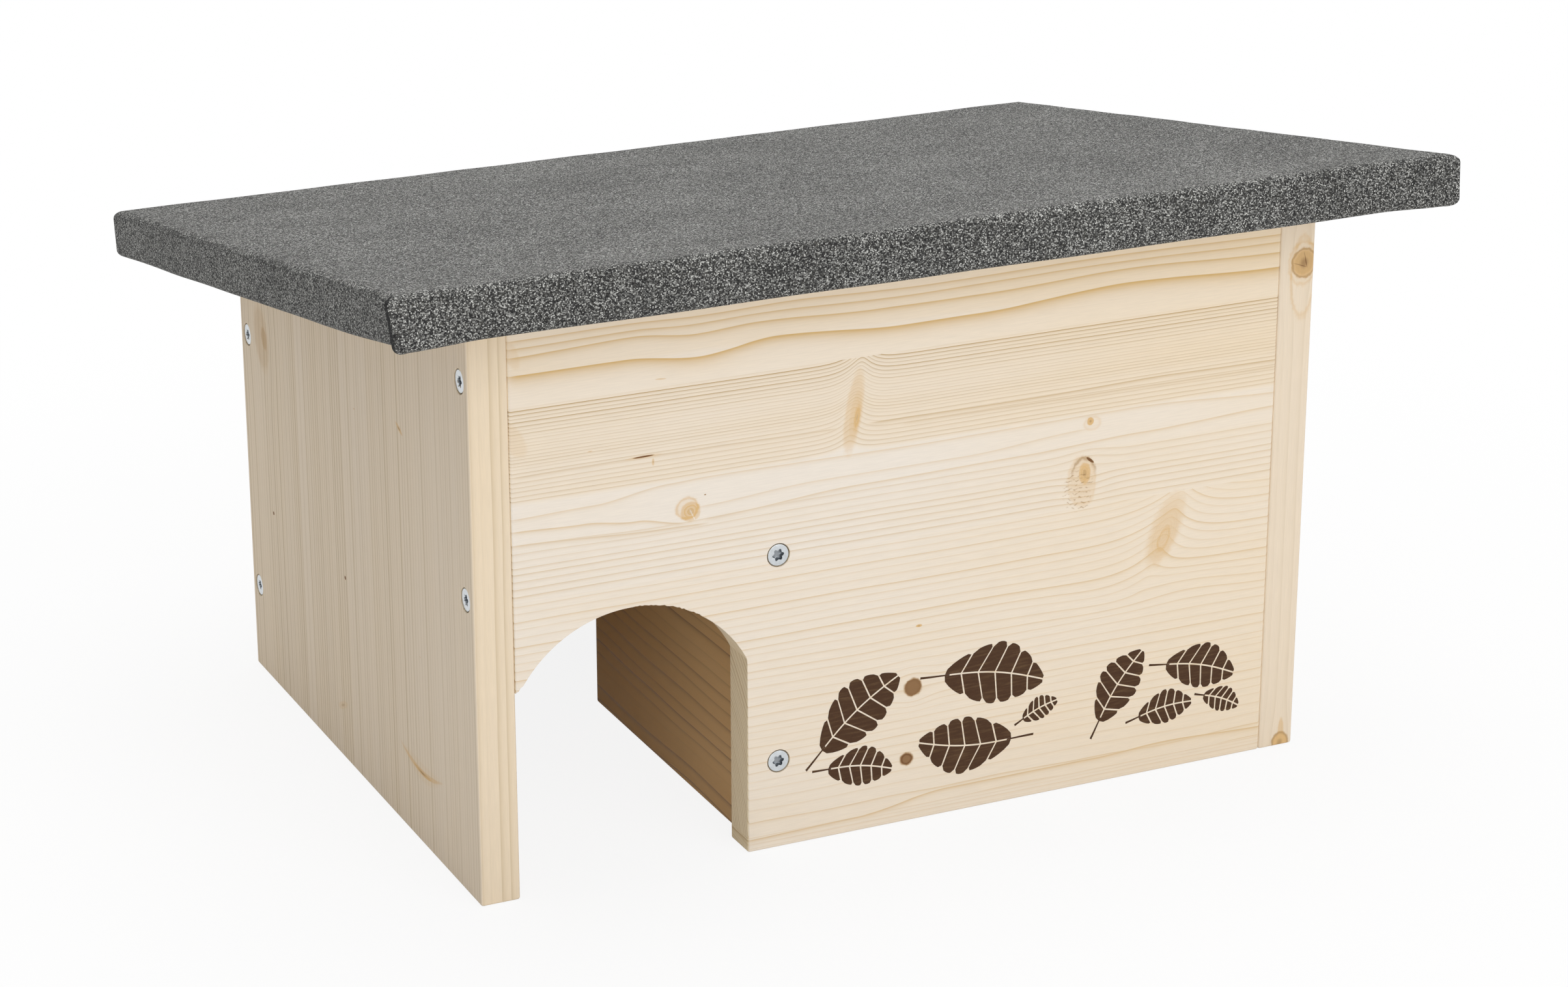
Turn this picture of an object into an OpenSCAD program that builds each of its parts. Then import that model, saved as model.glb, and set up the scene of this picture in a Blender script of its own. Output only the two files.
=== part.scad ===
// Hedgehog house: a softwood box that is open at its foot, with an arched entrance
// beside a short inner wall, and a lift-off pent roof wrapped in mineral roofing felt.
// Millimetres. +Z is up and the entrance front faces -Y. The origin is on the ground,
// in the middle of the whole house's outline.

/* [Body] */
// Width over the two side panels
body_w = 408; // [340:1:600]
// Depth from the front face to the back face
body_d = 304; // [250:1:420]
// Height of the walls at the front face
front_h = 263.5; // [235:0.5:360]
// Height of the walls at the back face
back_h = 211.5; // [200:0.5:230]
// Thickness of the wall, inner wall and roof boards
board_t = 18; // [14:0.5:24]

/* [Entrance] */
// Width of the entrance, from the left side panel's inner face
entrance_w = 108; // [85:1:150]
// Height of the entrance at the crown of its arch
entrance_h = 126; // [100:1:170]
// How far the arch's radius exceeds half of the entrance's width
arch_extra_r = 6; // [1:0.5:25]

/* [Inner wall] */
// Distance from the entrance's right edge to the inner wall
partition_offset = 6; // [2:0.5:30]
// Length of the inner wall, back from the front panel
partition_l = 168; // [110:1:185]
// Height of the inner wall
partition_h = 180; // [120:1:190]

/* [Roof] */
// Reach of the roof board past the front face, along the slope
front_overhang = 41; // [32:0.5:90]
// Reach of the roof board past the back face, along the slope
back_overhang = 47; // [32:0.5:90]
// Reach of the roof board past each side panel
side_overhang = 42.5; // [32:0.5:90]

/* [Roofing felt] */
// Thickness of the felt
felt_t = 2.2; // [1.2:0.1:4]
// Width of the hem that is folded under the roof board
felt_hem = 25; // [16:1:31]
// Outer radius of the felt over the roof's top edges
felt_top_r = 4; // [2:0.5:5]
// Outer radius of the felt under the roof's lower edges
felt_foot_r = 5; // [2:0.5:6]

/* [Roof battens] */
// Width of the battens that hold the roof in place
batten_w = 20; // [16:1:40]
// Depth of the battens below the roof board
batten_h = 20; // [14:1:30]
// Play between the battens and the walls around them
batten_play = 2; // [0.5:0.5:5]
// Distance from a batten's end to its outer screws
batten_screw_inset = 35; // [20:1:60]

/* [Screws] */
// Head diameter of the wall screws
screw_head_d = 10; // [8:0.5:11]
// Shank diameter of the wall screws
screw_d = 5; // [4:0.5:6]
// Length of the wall screws
screw_l = 50; // [35:1:70]
// Head diameter of the batten screws
batten_screw_head_d = 8; // [7:0.5:10]
// Shank diameter of the batten screws
batten_screw_d = 4; // [3:0.5:5]
// Depth of the screw heads below the wood's face
screw_sink = 0.3; // [0:0.1:1]
// Distance of the lowest side screws from the ground
foot_screw_h = 44; // [25:1:70]
// Distance of the upper front screws from the walls' front height
front_screw_drop = 28.5; // [15:0.5:45]
// Distance of the upper back screws from the walls' back height
back_screw_drop = 39; // [15:0.5:60]
// Distance of the left front panel's lower screw above the entrance
entrance_screw_rise = 12.5; // [8:0.5:30]
// Distance of the inner wall's screws from its foot and its top
partition_screw_inset = 41.5; // [20:0.5:60]

/* [Staples] */
// Length of a staple's crown
staple_w = 10; // [6:0.5:14]
// Length of a staple's legs
staple_l = 10; // [6:0.5:14]
// Thickness of the staple wire
staple_wire = 1; // [0.6:0.1:1.6]
// Greatest distance between two staples
staple_pitch = 95; // [50:5:160]

/* [Fits] */
// Gap between the walls' top edges and the roof board
seat_gap = 0.2; // [0:0.05:0.5]
// Play round the screws and staples in their holes
fixing_play = 0.05; // [0.02:0.01:0.3]
// Wood left over the tips of the batten screws
tip_cover = 4; // [2:0.5:8]

/* [Hidden] */
$fn = 64;

wood_colour = [0.91, 0.82, 0.66];
inner_wood_colour = [0.78, 0.63, 0.44];
felt_colour = [0.36, 0.37, 0.36];
zinc_colour = [0.74, 0.75, 0.77];

// Reach of a cut past the face that it starts from
cut = 1;

// Walls, measured from the front face and from the house's middle plane
half_w = body_w / 2;
inner_half_w = half_w - board_t;
inner_back = body_d - board_t;
pitch = atan2(front_h - back_h, body_d);
function roof_z(y) = front_h - y * tan(pitch);

// Entrance arch
arch_r = entrance_w / 2 + arch_extra_r;
arch_x = -inner_half_w + entrance_w / 2;
arch_z = entrance_h - arch_r;

// Inner wall
partition_x = -inner_half_w + entrance_w + partition_offset;

// Roof, measured down the slope from the front face and up from the board's underside
roof_w = body_w + 2 * side_overhang;
slope_d = body_d / cos(pitch);
roof_l = front_overhang + slope_d + back_overhang;
roof_end = slope_d + back_overhang;

// Felt radii stay small enough to keep felt over the roof board's own edges
felt_r_limit = 2.4 * felt_t;
top_r = min(felt_top_r, felt_r_limit);
foot_r = min(felt_foot_r, felt_r_limit);
felt_half_w = roof_w / 2 + felt_t;
felt_start = -front_overhang - felt_t;
felt_end = roof_end + felt_t;
felt_top = board_t + felt_t;
arc_steps = 6;

// The outline's front and back ends, which put the origin in its middle
outline_front = (felt_start + foot_r) * cos(pitch) + (foot_r - felt_t) * sin(pitch) - foot_r;
outline_back = (felt_end - top_r) * cos(pitch) + (felt_top - top_r) * sin(pitch) + top_r;
front_y = -(outline_front + outline_back) / 2;

// Battens lie inside the walls at every height of the lifted roof
batten_start = (board_t + batten_play + batten_h * sin(pitch)) / cos(pitch);
batten_end = (inner_back - batten_play) / cos(pitch);
batten_x = inner_half_w - batten_play - batten_w / 2;
batten_screw_l = batten_h + board_t - tip_cover - screw_sink;
batten_screw_s = [
  batten_start + batten_screw_inset, (batten_start + batten_end) / 2, batten_end - batten_screw_inset
];

// Staple rows, which run along the middle of the hem and stop short of its corners
hem_corner = felt_hem + staple_w;
cross_hem_reach = roof_w / 2 - hem_corner;
front_hem_s = -front_overhang + felt_hem / 2;
back_hem_s = roof_end - felt_hem / 2;

// Screw places
edge_inset = board_t / 2;
left_front_z = [entrance_h + entrance_screw_rise, front_h - front_screw_drop];
right_front_z = [foot_screw_h, front_h - front_screw_drop];
back_z = [foot_screw_h, back_h - back_screw_drop];
partition_z = [partition_screw_inset, partition_h - partition_screw_inset];
partition_screw_x = partition_x + board_t / 2;

// Screw details: the head's straight rim, the tip's length and the six-lobed drive
head_rim = 0.6;
tip_share = 1.4;
drive_share = 0.24;
drive_wave = 0.16;
drive_depth_share = 0.42;
drive_points = 36;

// A standing board whose top edge is cut to the roof's slope
module standing_board(x_low, x_high, y_low, y_high) {
  translate([x_low, front_y, 0])
    rotate([90, 0, 90])
      linear_extrude(x_high - x_low)
        polygon([[y_low, 0], [y_high, 0], [y_high, roof_z(y_high)], [y_low, roof_z(y_low)]]);
}

// The roof's own axes: across, down the slope and up from the board's underside
module on_roof() {
  translate([0, front_y, front_h + seat_gap])
    rotate([-pitch, 0, 0])
      children();
}

// Countersunk screw shape along -Z, with its head's top at the origin
module screw_blank(head_d, shank_d, length, play, above) {
  head_r = head_d / 2 + play;
  shank_r = shank_d / 2 + play;
  rotate_extrude()
    polygon([
      [0, above], [head_r, above], [head_r, -head_rim], [shank_r, -head_rim - head_r + shank_r],
      [shank_r, -length + tip_share * shank_d], [0, -length - play]
    ]);
}

module drive_recess(head_d) {
  depth = drive_depth_share * head_d / 2;
  translate([0, 0, -depth])
    linear_extrude(depth + cut)
      polygon([
        for (i = [0 : drive_points - 1])
          let (turn = 360 * i / drive_points, r = head_d * drive_share * (1 + drive_wave * cos(6 * turn)))
            r * [cos(turn), sin(turn)]
      ]);
}

module wood_screw(head_d, shank_d, length) {
  color(zinc_colour)
    difference() {
      screw_blank(head_d, shank_d, length, 0, 0);
      drive_recess(head_d);
    }
}

module wall_screw() {
  wood_screw(screw_head_d, screw_d, screw_l);
}

module wall_screw_hole() {
  screw_blank(screw_head_d, screw_d, screw_l, fixing_play, screw_sink + cut);
}

module batten_screw() {
  wood_screw(batten_screw_head_d, batten_screw_d, batten_screw_l);
}

module batten_screw_hole() {
  screw_blank(batten_screw_head_d, batten_screw_d, batten_screw_l, fixing_play, screw_sink + cut);
}

// Puts children into the outer face of the left (side -1) or right (side 1) panel
module at_side(side, y, heights) {
  for (z = heights)
    translate([side * (half_w - screw_sink), front_y + y, z])
      rotate([0, side * 90, 0])
        children();
}

module at_side_front(side, heights) {
  at_side(side, edge_inset, heights)
    children();
}

module at_side_back(side) {
  at_side(side, body_d - edge_inset, back_z)
    children();
}

// Puts children into the front face, opposite the inner wall's end
module at_partition() {
  for (z = partition_z)
    translate([partition_screw_x, front_y + screw_sink, z])
      rotate([90, 0, 0])
        children();
}

// Puts children into the underside of the left (side -1) or right (side 1) batten
module at_batten(side) {
  on_roof()
    for (s = batten_screw_s)
      translate([side * batten_x, s, -batten_h + screw_sink])
        rotate([180, 0, 0])
          children();
}

// A staple driven up through the hem, with its crown along X
module staple() {
  color(zinc_colour)
    translate([-staple_w / 2, -staple_wire / 2, -felt_t - staple_wire]) {
      cube([staple_w, staple_wire, staple_wire]);
      for (x = [0, staple_w - staple_wire])
        translate([x, 0, 0])
          cube([staple_wire, staple_wire, staple_l]);
    }
}

// The slots that a staple's legs make in the felt and the roof board
module staple_holes() {
  width = staple_wire + 2 * fixing_play;
  for (side = [-1, 1])
    translate([side * (staple_w - staple_wire) / 2, 0, -felt_t - staple_wire])
      translate([-width / 2, -width / 2, 0])
        cube([width, width, staple_l + fixing_play]);
}

// Places spread evenly from low to high, no further apart than the staples' pitch
function staple_places(low, high) =
  let (steps = ceil((high - low) / staple_pitch))
    [for (i = [0 : steps]) low + (high - low) * i / steps];

// Puts children along the hem that runs across the roof at s down the slope
module at_cross_hem(s) {
  on_roof()
    for (x = staple_places(-cross_hem_reach, cross_hem_reach))
      translate([x, s, 0])
        children();
}

// Puts children along the hem of the roof's left (side -1) or right (side 1) edge
module at_slope_hem(side) {
  on_roof()
    for (s = staple_places(-front_overhang + hem_corner, roof_end - hem_corner))
      translate([side * (roof_w - felt_hem) / 2, s, 0])
        rotate([0, 0, 90])
          children();
}

module at_every_hem() {
  for (s = [front_hem_s, back_hem_s])
    at_cross_hem(s)
      children();
  for (side = [-1, 1])
    at_slope_hem(side)
      children();
}

module entrance_cut() {
  translate([0, front_y + board_t + cut, 0])
    rotate([90, 0, 0])
      linear_extrude(board_t + 2 * cut)
        intersection() {
          translate([arch_x - entrance_w / 2 - cut, -cut])
            square([entrance_w + cut, entrance_h + 2 * cut]);
          union() {
            translate([arch_x, arch_z])
              circle(arch_r);
            translate([arch_x - arch_r - cut, -cut])
              square([2 * (arch_r + cut), arch_z + cut]);
          }
        }
}

module side_panel(side, front_heights) {
  color(wood_colour)
    difference() {
      standing_board(
        side < 0 ? -half_w : inner_half_w, side < 0 ? -inner_half_w : half_w, 0, body_d
      );
      at_side_front(side, front_heights)
        wall_screw_hole();
      at_side_back(side)
        wall_screw_hole();
    }
}

module left_side_panel() {
  side_panel(-1, left_front_z);
}

module right_side_panel() {
  side_panel(1, right_front_z);
}

module front_panel() {
  color(wood_colour)
    difference() {
      standing_board(-inner_half_w, inner_half_w, 0, board_t);
      entrance_cut();
      at_side_front(-1, left_front_z)
        wall_screw_hole();
      at_side_front(1, right_front_z)
        wall_screw_hole();
      at_partition()
        wall_screw_hole();
    }
}

module back_panel() {
  color(wood_colour)
    difference() {
      standing_board(-inner_half_w, inner_half_w, inner_back, body_d);
      for (side = [-1, 1])
        at_side_back(side)
          wall_screw_hole();
    }
}

module partition_panel() {
  color(inner_wood_colour)
    difference() {
      translate([partition_x, front_y + board_t, 0])
        cube([board_t, partition_l, partition_h]);
      at_partition()
        wall_screw_hole();
    }
}

module roof_board() {
  color(wood_colour)
    difference() {
      on_roof()
        translate([-roof_w / 2, -front_overhang, 0])
          cube([roof_w, roof_l, board_t]);
      for (side = [-1, 1])
        at_batten(side)
          batten_screw_hole();
      at_every_hem()
        staple_holes();
    }
}

function corner_arc(x, z, r, start) = [
  for (i = [0 : arc_steps])
    let (turn = start + 90 * i / arc_steps)
      [x + r * cos(turn), z + r * sin(turn)]
];

// Section of the wrapped roof, with its top and lower edges rounded
function felt_section(low, high) = concat(
  corner_arc(low + foot_r, foot_r - felt_t, foot_r, 180),
  corner_arc(high - foot_r, foot_r - felt_t, foot_r, 270),
  corner_arc(high - top_r, felt_top - top_r, top_r, 0),
  corner_arc(low + top_r, felt_top - top_r, top_r, 90)
);

module wrapped_roof() {
  intersection() {
    translate([-felt_half_w - cut, 0, 0])
      rotate([90, 0, 90])
        linear_extrude(2 * (felt_half_w + cut))
          polygon(felt_section(felt_start, felt_end));
    translate([0, felt_end + cut, 0])
      rotate([90, 0, 0])
        linear_extrude(felt_end - felt_start + 2 * cut)
          polygon(felt_section(-felt_half_w, felt_half_w));
  }
}

module roofing_felt() {
  color(felt_colour)
    difference() {
      on_roof()
        difference() {
          wrapped_roof();
          translate([-roof_w / 2, -front_overhang, 0])
            cube([roof_w, roof_l, board_t]);
          translate([felt_hem - roof_w / 2, felt_hem - front_overhang, -felt_t - cut])
            cube([roof_w - 2 * felt_hem, roof_l - 2 * felt_hem, felt_t + 2 * cut]);
        }
      at_every_hem()
        staple_holes();
    }
}

module batten(side) {
  color(wood_colour)
    difference() {
      on_roof()
        translate([side * batten_x - batten_w / 2, batten_start, -batten_h])
          cube([batten_w, batten_end - batten_start, batten_h]);
      at_batten(side)
        batten_screw_hole();
    }
}

module left_batten() {
  batten(-1);
}

module right_batten() {
  batten(1);
}

module left_front_screws() {
  at_side_front(-1, left_front_z)
    wall_screw();
}

module left_back_screws() {
  at_side_back(-1)
    wall_screw();
}

module right_front_screws() {
  at_side_front(1, right_front_z)
    wall_screw();
}

module right_back_screws() {
  at_side_back(1)
    wall_screw();
}

module partition_screws() {
  at_partition()
    wall_screw();
}

module left_batten_screws() {
  at_batten(-1)
    batten_screw();
}

module right_batten_screws() {
  at_batten(1)
    batten_screw();
}

module front_hem_staples() {
  at_cross_hem(front_hem_s)
    staple();
}

module back_hem_staples() {
  at_cross_hem(back_hem_s)
    staple();
}

module left_hem_staples() {
  at_slope_hem(-1)
    staple();
}

module right_hem_staples() {
  at_slope_hem(1)
    staple();
}

left_side_panel();
right_side_panel();
front_panel();
back_panel();
partition_panel();
roof_board();
roofing_felt();
left_batten();
right_batten();
left_front_screws();
left_back_screws();
right_front_screws();
right_back_screws();
partition_screws();
left_batten_screws();
right_batten_screws();
front_hem_staples();
back_hem_staples();
left_hem_staples();
right_hem_staples();
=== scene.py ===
"""Dresses the hedgehog house: spruce boards, a felted roof, zinc fixings, a leaf print and the stage."""
import math
import random
from typing import NamedTuple

import bmesh
import bpy
import numpy as np
from bpy.props import FloatProperty, FloatVectorProperty, PointerProperty
from mathutils import Matrix, Vector, noise


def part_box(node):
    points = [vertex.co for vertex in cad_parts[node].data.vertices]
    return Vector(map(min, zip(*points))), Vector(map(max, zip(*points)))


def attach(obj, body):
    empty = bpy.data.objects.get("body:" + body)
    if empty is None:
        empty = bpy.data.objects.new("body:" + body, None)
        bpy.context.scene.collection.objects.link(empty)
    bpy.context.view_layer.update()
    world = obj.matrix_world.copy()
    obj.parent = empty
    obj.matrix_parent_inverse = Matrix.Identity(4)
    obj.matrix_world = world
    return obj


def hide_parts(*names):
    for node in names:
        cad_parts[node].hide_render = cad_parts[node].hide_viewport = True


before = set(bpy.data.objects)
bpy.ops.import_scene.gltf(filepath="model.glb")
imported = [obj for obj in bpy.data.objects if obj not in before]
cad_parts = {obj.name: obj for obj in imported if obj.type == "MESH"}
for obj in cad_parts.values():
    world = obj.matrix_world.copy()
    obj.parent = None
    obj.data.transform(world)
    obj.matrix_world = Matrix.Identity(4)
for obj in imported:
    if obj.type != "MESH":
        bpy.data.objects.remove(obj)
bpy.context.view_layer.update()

bl_info = {
    "name": "Hedgehog house",
    "version": (1, 0, 0),
    "blender": (4, 5, 0),
    "location": "View3D > Sidebar > House",
    "description": "Dresses the hedgehog house in spruce, roofing felt and zinc",
    "category": "Object",
}

MM = 0.001

# Places that the frame gives
FRONT_LOW, FRONT_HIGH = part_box("front_panel")
BACK_LOW, BACK_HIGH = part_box("back_panel")
LEFT_LOW, LEFT_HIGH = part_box("left_side_panel")
RIGHT_LOW, RIGHT_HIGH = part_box("right_side_panel")
INNER_LOW, INNER_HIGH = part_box("partition_panel")
SLOPE = (FRONT_HIGH.z - BACK_HIGH.z) / (BACK_LOW.y - FRONT_LOW.y)
PITCH = math.atan(SLOPE)
HOUSE_CORNER = Vector((LEFT_LOW.x, FRONT_LOW.y, 0))  # the wood's marks are measured from here, in mm
ROOF_AXES = Matrix.Translation((0, FRONT_LOW.y, FRONT_HIGH.z)) @ Matrix.Rotation(-PITCH, 4, "X")


def node_points(node, axes=None):
    """The points of a CAD node as an array, in the row frame or in other axes."""
    points = [vertex.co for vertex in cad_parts[node].data.vertices]
    if axes is not None:
        points = [axes.inverted() @ point for point in points]
    return np.array([tuple(point) for point in points])


def roof_box(node):
    """Lowest and highest corner of a CAD node, measured along the roof's own axes."""
    points = node_points(node, ROOF_AXES)
    return Vector(points.min(0)), Vector(points.max(0))


BOARD_LOW, BOARD_HIGH = roof_box("roof_board")
FELT_LOW, FELT_HIGH = roof_box("roofing_felt")


def wall_top(y):
    """Height of the walls' sloping top at a depth."""
    return FRONT_HIGH.z - (y - FRONT_LOW.y) * SLOPE


# What a user would change

def length(name, description, default):
    """A length property in metres."""
    return FloatProperty(name=name, description=description, default=default, min=0.0, unit="LENGTH")


def power(name, description, default):
    """A lamp's power in watts."""
    return FloatProperty(name=name, description=description, default=default, min=0.0, unit="POWER")


def colour(name, description, default):
    """A colour property, written as red, green and blue in linear light."""
    return FloatVectorProperty(
        name=name, description=description, default=(*default, 1.0), size=4, min=0.0, max=1.0, subtype="COLOR"
    )


class HouseSizes(bpy.types.PropertyGroup):
    """Sizes of the details that the frame leaves to the scene."""

    arris: length("Arris", "Radius of the boards' eased edges", 0.0011)
    arch_arris: length("Arch arris", "Radius of the sawn edge of the entrance", 0.0004)
    arch_radius: length("Arch radius", "Radius of the entrance's round head", 0.060)
    arch_centre: length("Arch centre", "Height of the middle of the round head", 0.066)
    entrance_width: length("Entrance width", "Clear width of the entrance", 0.108)
    screw_hole: length("Screw hole", "Radius of the hole round a screw's shank", 0.0026)
    screw_mouth: length("Screw mouth", "Radius of the hole round a wall screw's head", 0.00545)
    screw_recess: length("Screw recess", "Mean radius of the six-lobe recess", 0.0023)
    felt_corner: length("Felt corner", "Width of the rounded rim seen from above", 0.005)
    felt_top_edge: length("Felt top edge", "Radius of the felt's fold at the top", 0.004)
    felt_foot_edge: length("Felt foot edge", "Radius of the felt's fold at the foot", 0.0032)
    felt_hem: length("Felt hem", "How far the hem runs in under the roof", 0.0222)
    felt_flap: length("Felt flap", "How far the folded felt stands out at the corners", 0.0017)
    felt_overlap: length("Felt overlap", "How far a flap's cut end runs past the side", 0.0028)
    print_relief: length("Print relief", "Height of the printed leaves over the wood", 0.00006)


class HouseColours(bpy.types.PropertyGroup):
    """Colours of the finishes."""

    early_wood: colour("Early wood", "Pale wood between the growth lines", (0.868, 0.79, 0.695))
    warm_wood: colour("Warm wood", "Warmer wood at edges and in drifts", (0.86, 0.71, 0.515))
    late_wood: colour("Late wood", "Orange wood of the growth lines", (0.60, 0.34, 0.04))
    fine_late: colour("Fine late wood", "Brown wood where the growth lines are close", (0.36, 0.25, 0.12))
    side_wood: colour("Side wood", "Pale wood of the side panels", (0.81, 0.70, 0.57))
    side_late: colour("Side late wood", "Ochre growth lines of the side panels", (0.48, 0.35, 0.17))
    # End grain made lighter than the wood is: painted light for the shaded jamb of the entrance
    end_wood_painted_light: colour("End wood", "End grain in the entrance", (1.0, 0.86, 0.62))
    # The inner wall's colours are painted shade: browner and darker than the same spruce outside, for the
    # shade inside the house
    inner_wood: colour("Inner wood", "Brown wood of the inner wall", (0.71, 0.455, 0.21))
    # Darker still deep in the passage: painted shade
    inner_warm_painted_shade: colour("Inner warm wood", "Darker wood deep in the passage", (0.56, 0.30, 0.09))
    inner_late_painted_shade: colour("Inner late wood", "Growth lines of the inner wall", (0.20, 0.09, 0.033))
    knot_wood: colour("Knot wood", "Tan wood of the knots", (0.72, 0.48, 0.225))
    knot_heart: colour("Knot heart", "Dark rims and hearts of the knots", (0.16, 0.065, 0.022))
    print_brown: colour("Print brown", "Burnt brown of the printed leaves", (0.068, 0.031, 0.014))
    granule_dark: colour("Dark granule", "Darkest mineral granules and bitumen", (0.012, 0.012, 0.012))
    granule_light: colour("Light granule", "Lightest mineral granules", (0.86, 0.86, 0.82))
    granule_tint: colour("Granule tint", "Olive tint of a few granules", (0.32, 0.31, 0.27))
    zinc: colour("Zinc", "Bright zinc plating", (0.60, 0.63, 0.65))
    # Darker zinc for the screw heads' recesses: painted shade in the hollows
    recess: colour("Recess", "Shaded zinc in the screw heads", (0.30, 0.32, 0.34))
    floor: colour("Floor", "Pale studio floor", (0.90, 0.90, 0.90))


class HouseLight(bpy.types.PropertyGroup):
    """Levels of the studio light."""

    key: power("Key", "Power of the large lamp", 34.0)
    top: power("Top", "Power of the lamp overhead", 29.0)
    fill: power("Fill", "Power of the lamp on the left", 4.0)
    sky: FloatProperty(name="Sky", description="Strength of the light from all round", default=0.45, min=0.0)


# Shaders as expressions

class Wire:
    """An output socket. Arithmetic on wires adds Math nodes."""

    def __init__(self, paint, socket):
        self.paint = paint
        self.socket = socket

    def math(self, operation, *others):
        return self.paint.math(operation, self, *others)

    def __add__(self, other):
        return self.math("ADD", other)

    def __sub__(self, other):
        return self.math("SUBTRACT", other)

    def __rsub__(self, other):
        return self.paint.math("SUBTRACT", other, self)

    def __mul__(self, other):
        return self.math("MULTIPLY", other)

    def __truediv__(self, other):
        return self.math("DIVIDE", other)

    def __pow__(self, other):
        return self.math("POWER", other)

    def __gt__(self, other):
        return self.math("GREATER_THAN", other)

    __radd__ = __add__
    __rmul__ = __mul__

    def floor(self):
        return self.math("FLOOR")

    def fade(self):
        """e to the power of minus this."""
        return self.math("MULTIPLY", -1.0).math("EXPONENT")

    def at_least(self, least):
        return self.math("MAXIMUM", least)

    def at_most(self, most):
        return self.math("MINIMUM", most)

    def ease(self, start, end):
        """0 before start, 1 after end and smooth between them; start may be the larger."""
        ends = {"Value": self, "From Min": start, "From Max": end}
        return self.paint.node("ShaderNodeMapRange", {"interpolation_type": "SMOOTHSTEP"}, ends)


class Paint:
    """A node tree that is built from expressions."""

    def __init__(self, tree):
        self.tree = tree
        self.tree.nodes.clear()

    def node(self, kind, settings=None, sockets=None, output=0):
        """Adds a node: first its settings, then the values or links of its sockets."""
        node = self.tree.nodes.new(kind)
        for name, value in (settings or {}).items():
            if name == "stops":
                self.fill_ramp(node.color_ramp, value)
            else:
                setattr(node, name, value)
        for name, value in (sockets or {}).items():
            if isinstance(value, Wire):
                self.tree.links.new(value.socket, node.inputs[name])
            else:
                node.inputs[name].default_value = value
        return Wire(self, node.outputs[output]) if node.outputs else None

    @staticmethod
    def fill_ramp(ramp, stops):
        """Sets a colour ramp's stops, each a place and a grey level."""
        while len(ramp.elements) < len(stops):
            ramp.elements.new(0.5)
        for element, (place, level) in zip(ramp.elements, stops):
            element.position = place
            element.color = (level, level, level, 1.0)

    def math(self, operation, *values):
        return self.node("ShaderNodeMath", {"operation": operation}, dict(enumerate(values)))

    def mix(self, factor, first, second):
        """A colour between two colours."""
        return self.node("ShaderNodeMix", {"data_type": "RGBA"}, {0: factor, 6: first, 7: second}, 2)

    def dim(self, paint_colour, level):
        """A colour made lighter or darker by a wire."""
        if not isinstance(paint_colour, Wire):
            paint_colour = paint_colour[:3]
        return self.node("ShaderNodeVectorMath", {"operation": "SCALE"}, {0: paint_colour, "Scale": level})

    def parts(self, vector):
        """The three numbers of a vector."""
        first = self.node("ShaderNodeSeparateXYZ", None, {0: vector})
        return [Wire(self, output) for output in first.socket.node.outputs]

    def join(self, x, y, z):
        return self.node("ShaderNodeCombineXYZ", None, {0: x, 1: y, 2: z})

    def place_mm(self, corner):
        """The surface's own place in mm, measured from a corner given in metres."""
        place = self.node("ShaderNodeTexCoord", None, None, "Object")
        start = tuple(-part / MM for part in corner)
        return self.node("ShaderNodeMapping", None, {0: place, "Location": start, "Scale": (1 / MM,) * 3})

    def noise(self, vector, detail=2.0, scale=1.0):
        return self.node("ShaderNodeTexNoise", None, {"Vector": vector, "Scale": scale, "Detail": detail})

    def chance(self, number):
        """A random level for each whole number."""
        return self.node("ShaderNodeTexWhiteNoise", {"noise_dimensions": "1D"}, {"W": number})

    def bump(self, height, strength, distance):
        sockets = {"Height": height, "Strength": strength, "Distance": distance}
        return self.node("ShaderNodeBump", None, sockets)

    def surface(self, sockets):
        """Ends the tree in a Principled shader."""
        shader = self.node("ShaderNodeBsdfPrincipled", None, sockets)
        self.node("ShaderNodeOutputMaterial", None, {"Surface": shader})


def new_paint(name):
    """A new material and the paint that fills its node tree."""
    material = bpy.data.materials.new(name)
    material.use_nodes = True
    return material, Paint(material.node_tree)


# Spruce

class Band(NamedTuple):
    """A run of growth lines across a strip's face; lengths in mm."""

    start: float            # where the run starts, across the grain
    spacing: float          # between its lines, on the face
    strength: float         # how orange the lines are
    warmth: float = 0.2     # how warm the wood between them is
    width: float = 0.9      # of a line, on the face
    brown: float = 0.0      # how brown the lines are

    def looks(self):
        """Strength, warmth and brownness, and the share of a ring that a line takes."""
        return self.strength, self.warmth, self.brown, self.width / self.spacing


class Stave(NamedTuple):
    """One glued strip of a board, which starts where its first band starts; lengths in mm."""

    pith: tuple             # the tree's middle: across the grain, and through the board
    bands: tuple
    wave: float = 1.2       # how far the lines wander
    vary: float = 0.6       # how uneven they are, in place and in strength
    face: float = 0.0       # where the board's seen face lies, through the board

    def radius(self, across):
        """Distance from the pith at a place on the seen face."""
        return math.hypot(across - self.pith[0], self.face - self.pith[1])


class Line(NamedTuple):
    """A single growth line with a course of its own; lengths in mm."""

    course: tuple           # places on the face, each along and across the grain
    strength: float
    width: float            # over which it fades on its lower side


class Knot(NamedTuple):
    """A knot or mark in the wood; lengths in mm and the tilt in degrees."""

    along: float
    across: float
    half_along: float
    half_across: float
    tilt: float = 0.0
    tan: float = 0.8        # how much knot wood shows; below 0 it is a pale crack
    heart: float = 0.0      # how dark the middle is
    rim: float = 0.0        # how dark the rim is
    ring: float = 0.0       # how orange the rim is
    rings: float = 0.0      # growth rings inside it
    bow: float = 0.0        # how far it curves, per mm
    crown: bool = False     # a rim on the upper side only
    solid: bool = False     # dark all over
    on_edge: bool = False   # measured through the board instead of across it


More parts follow.
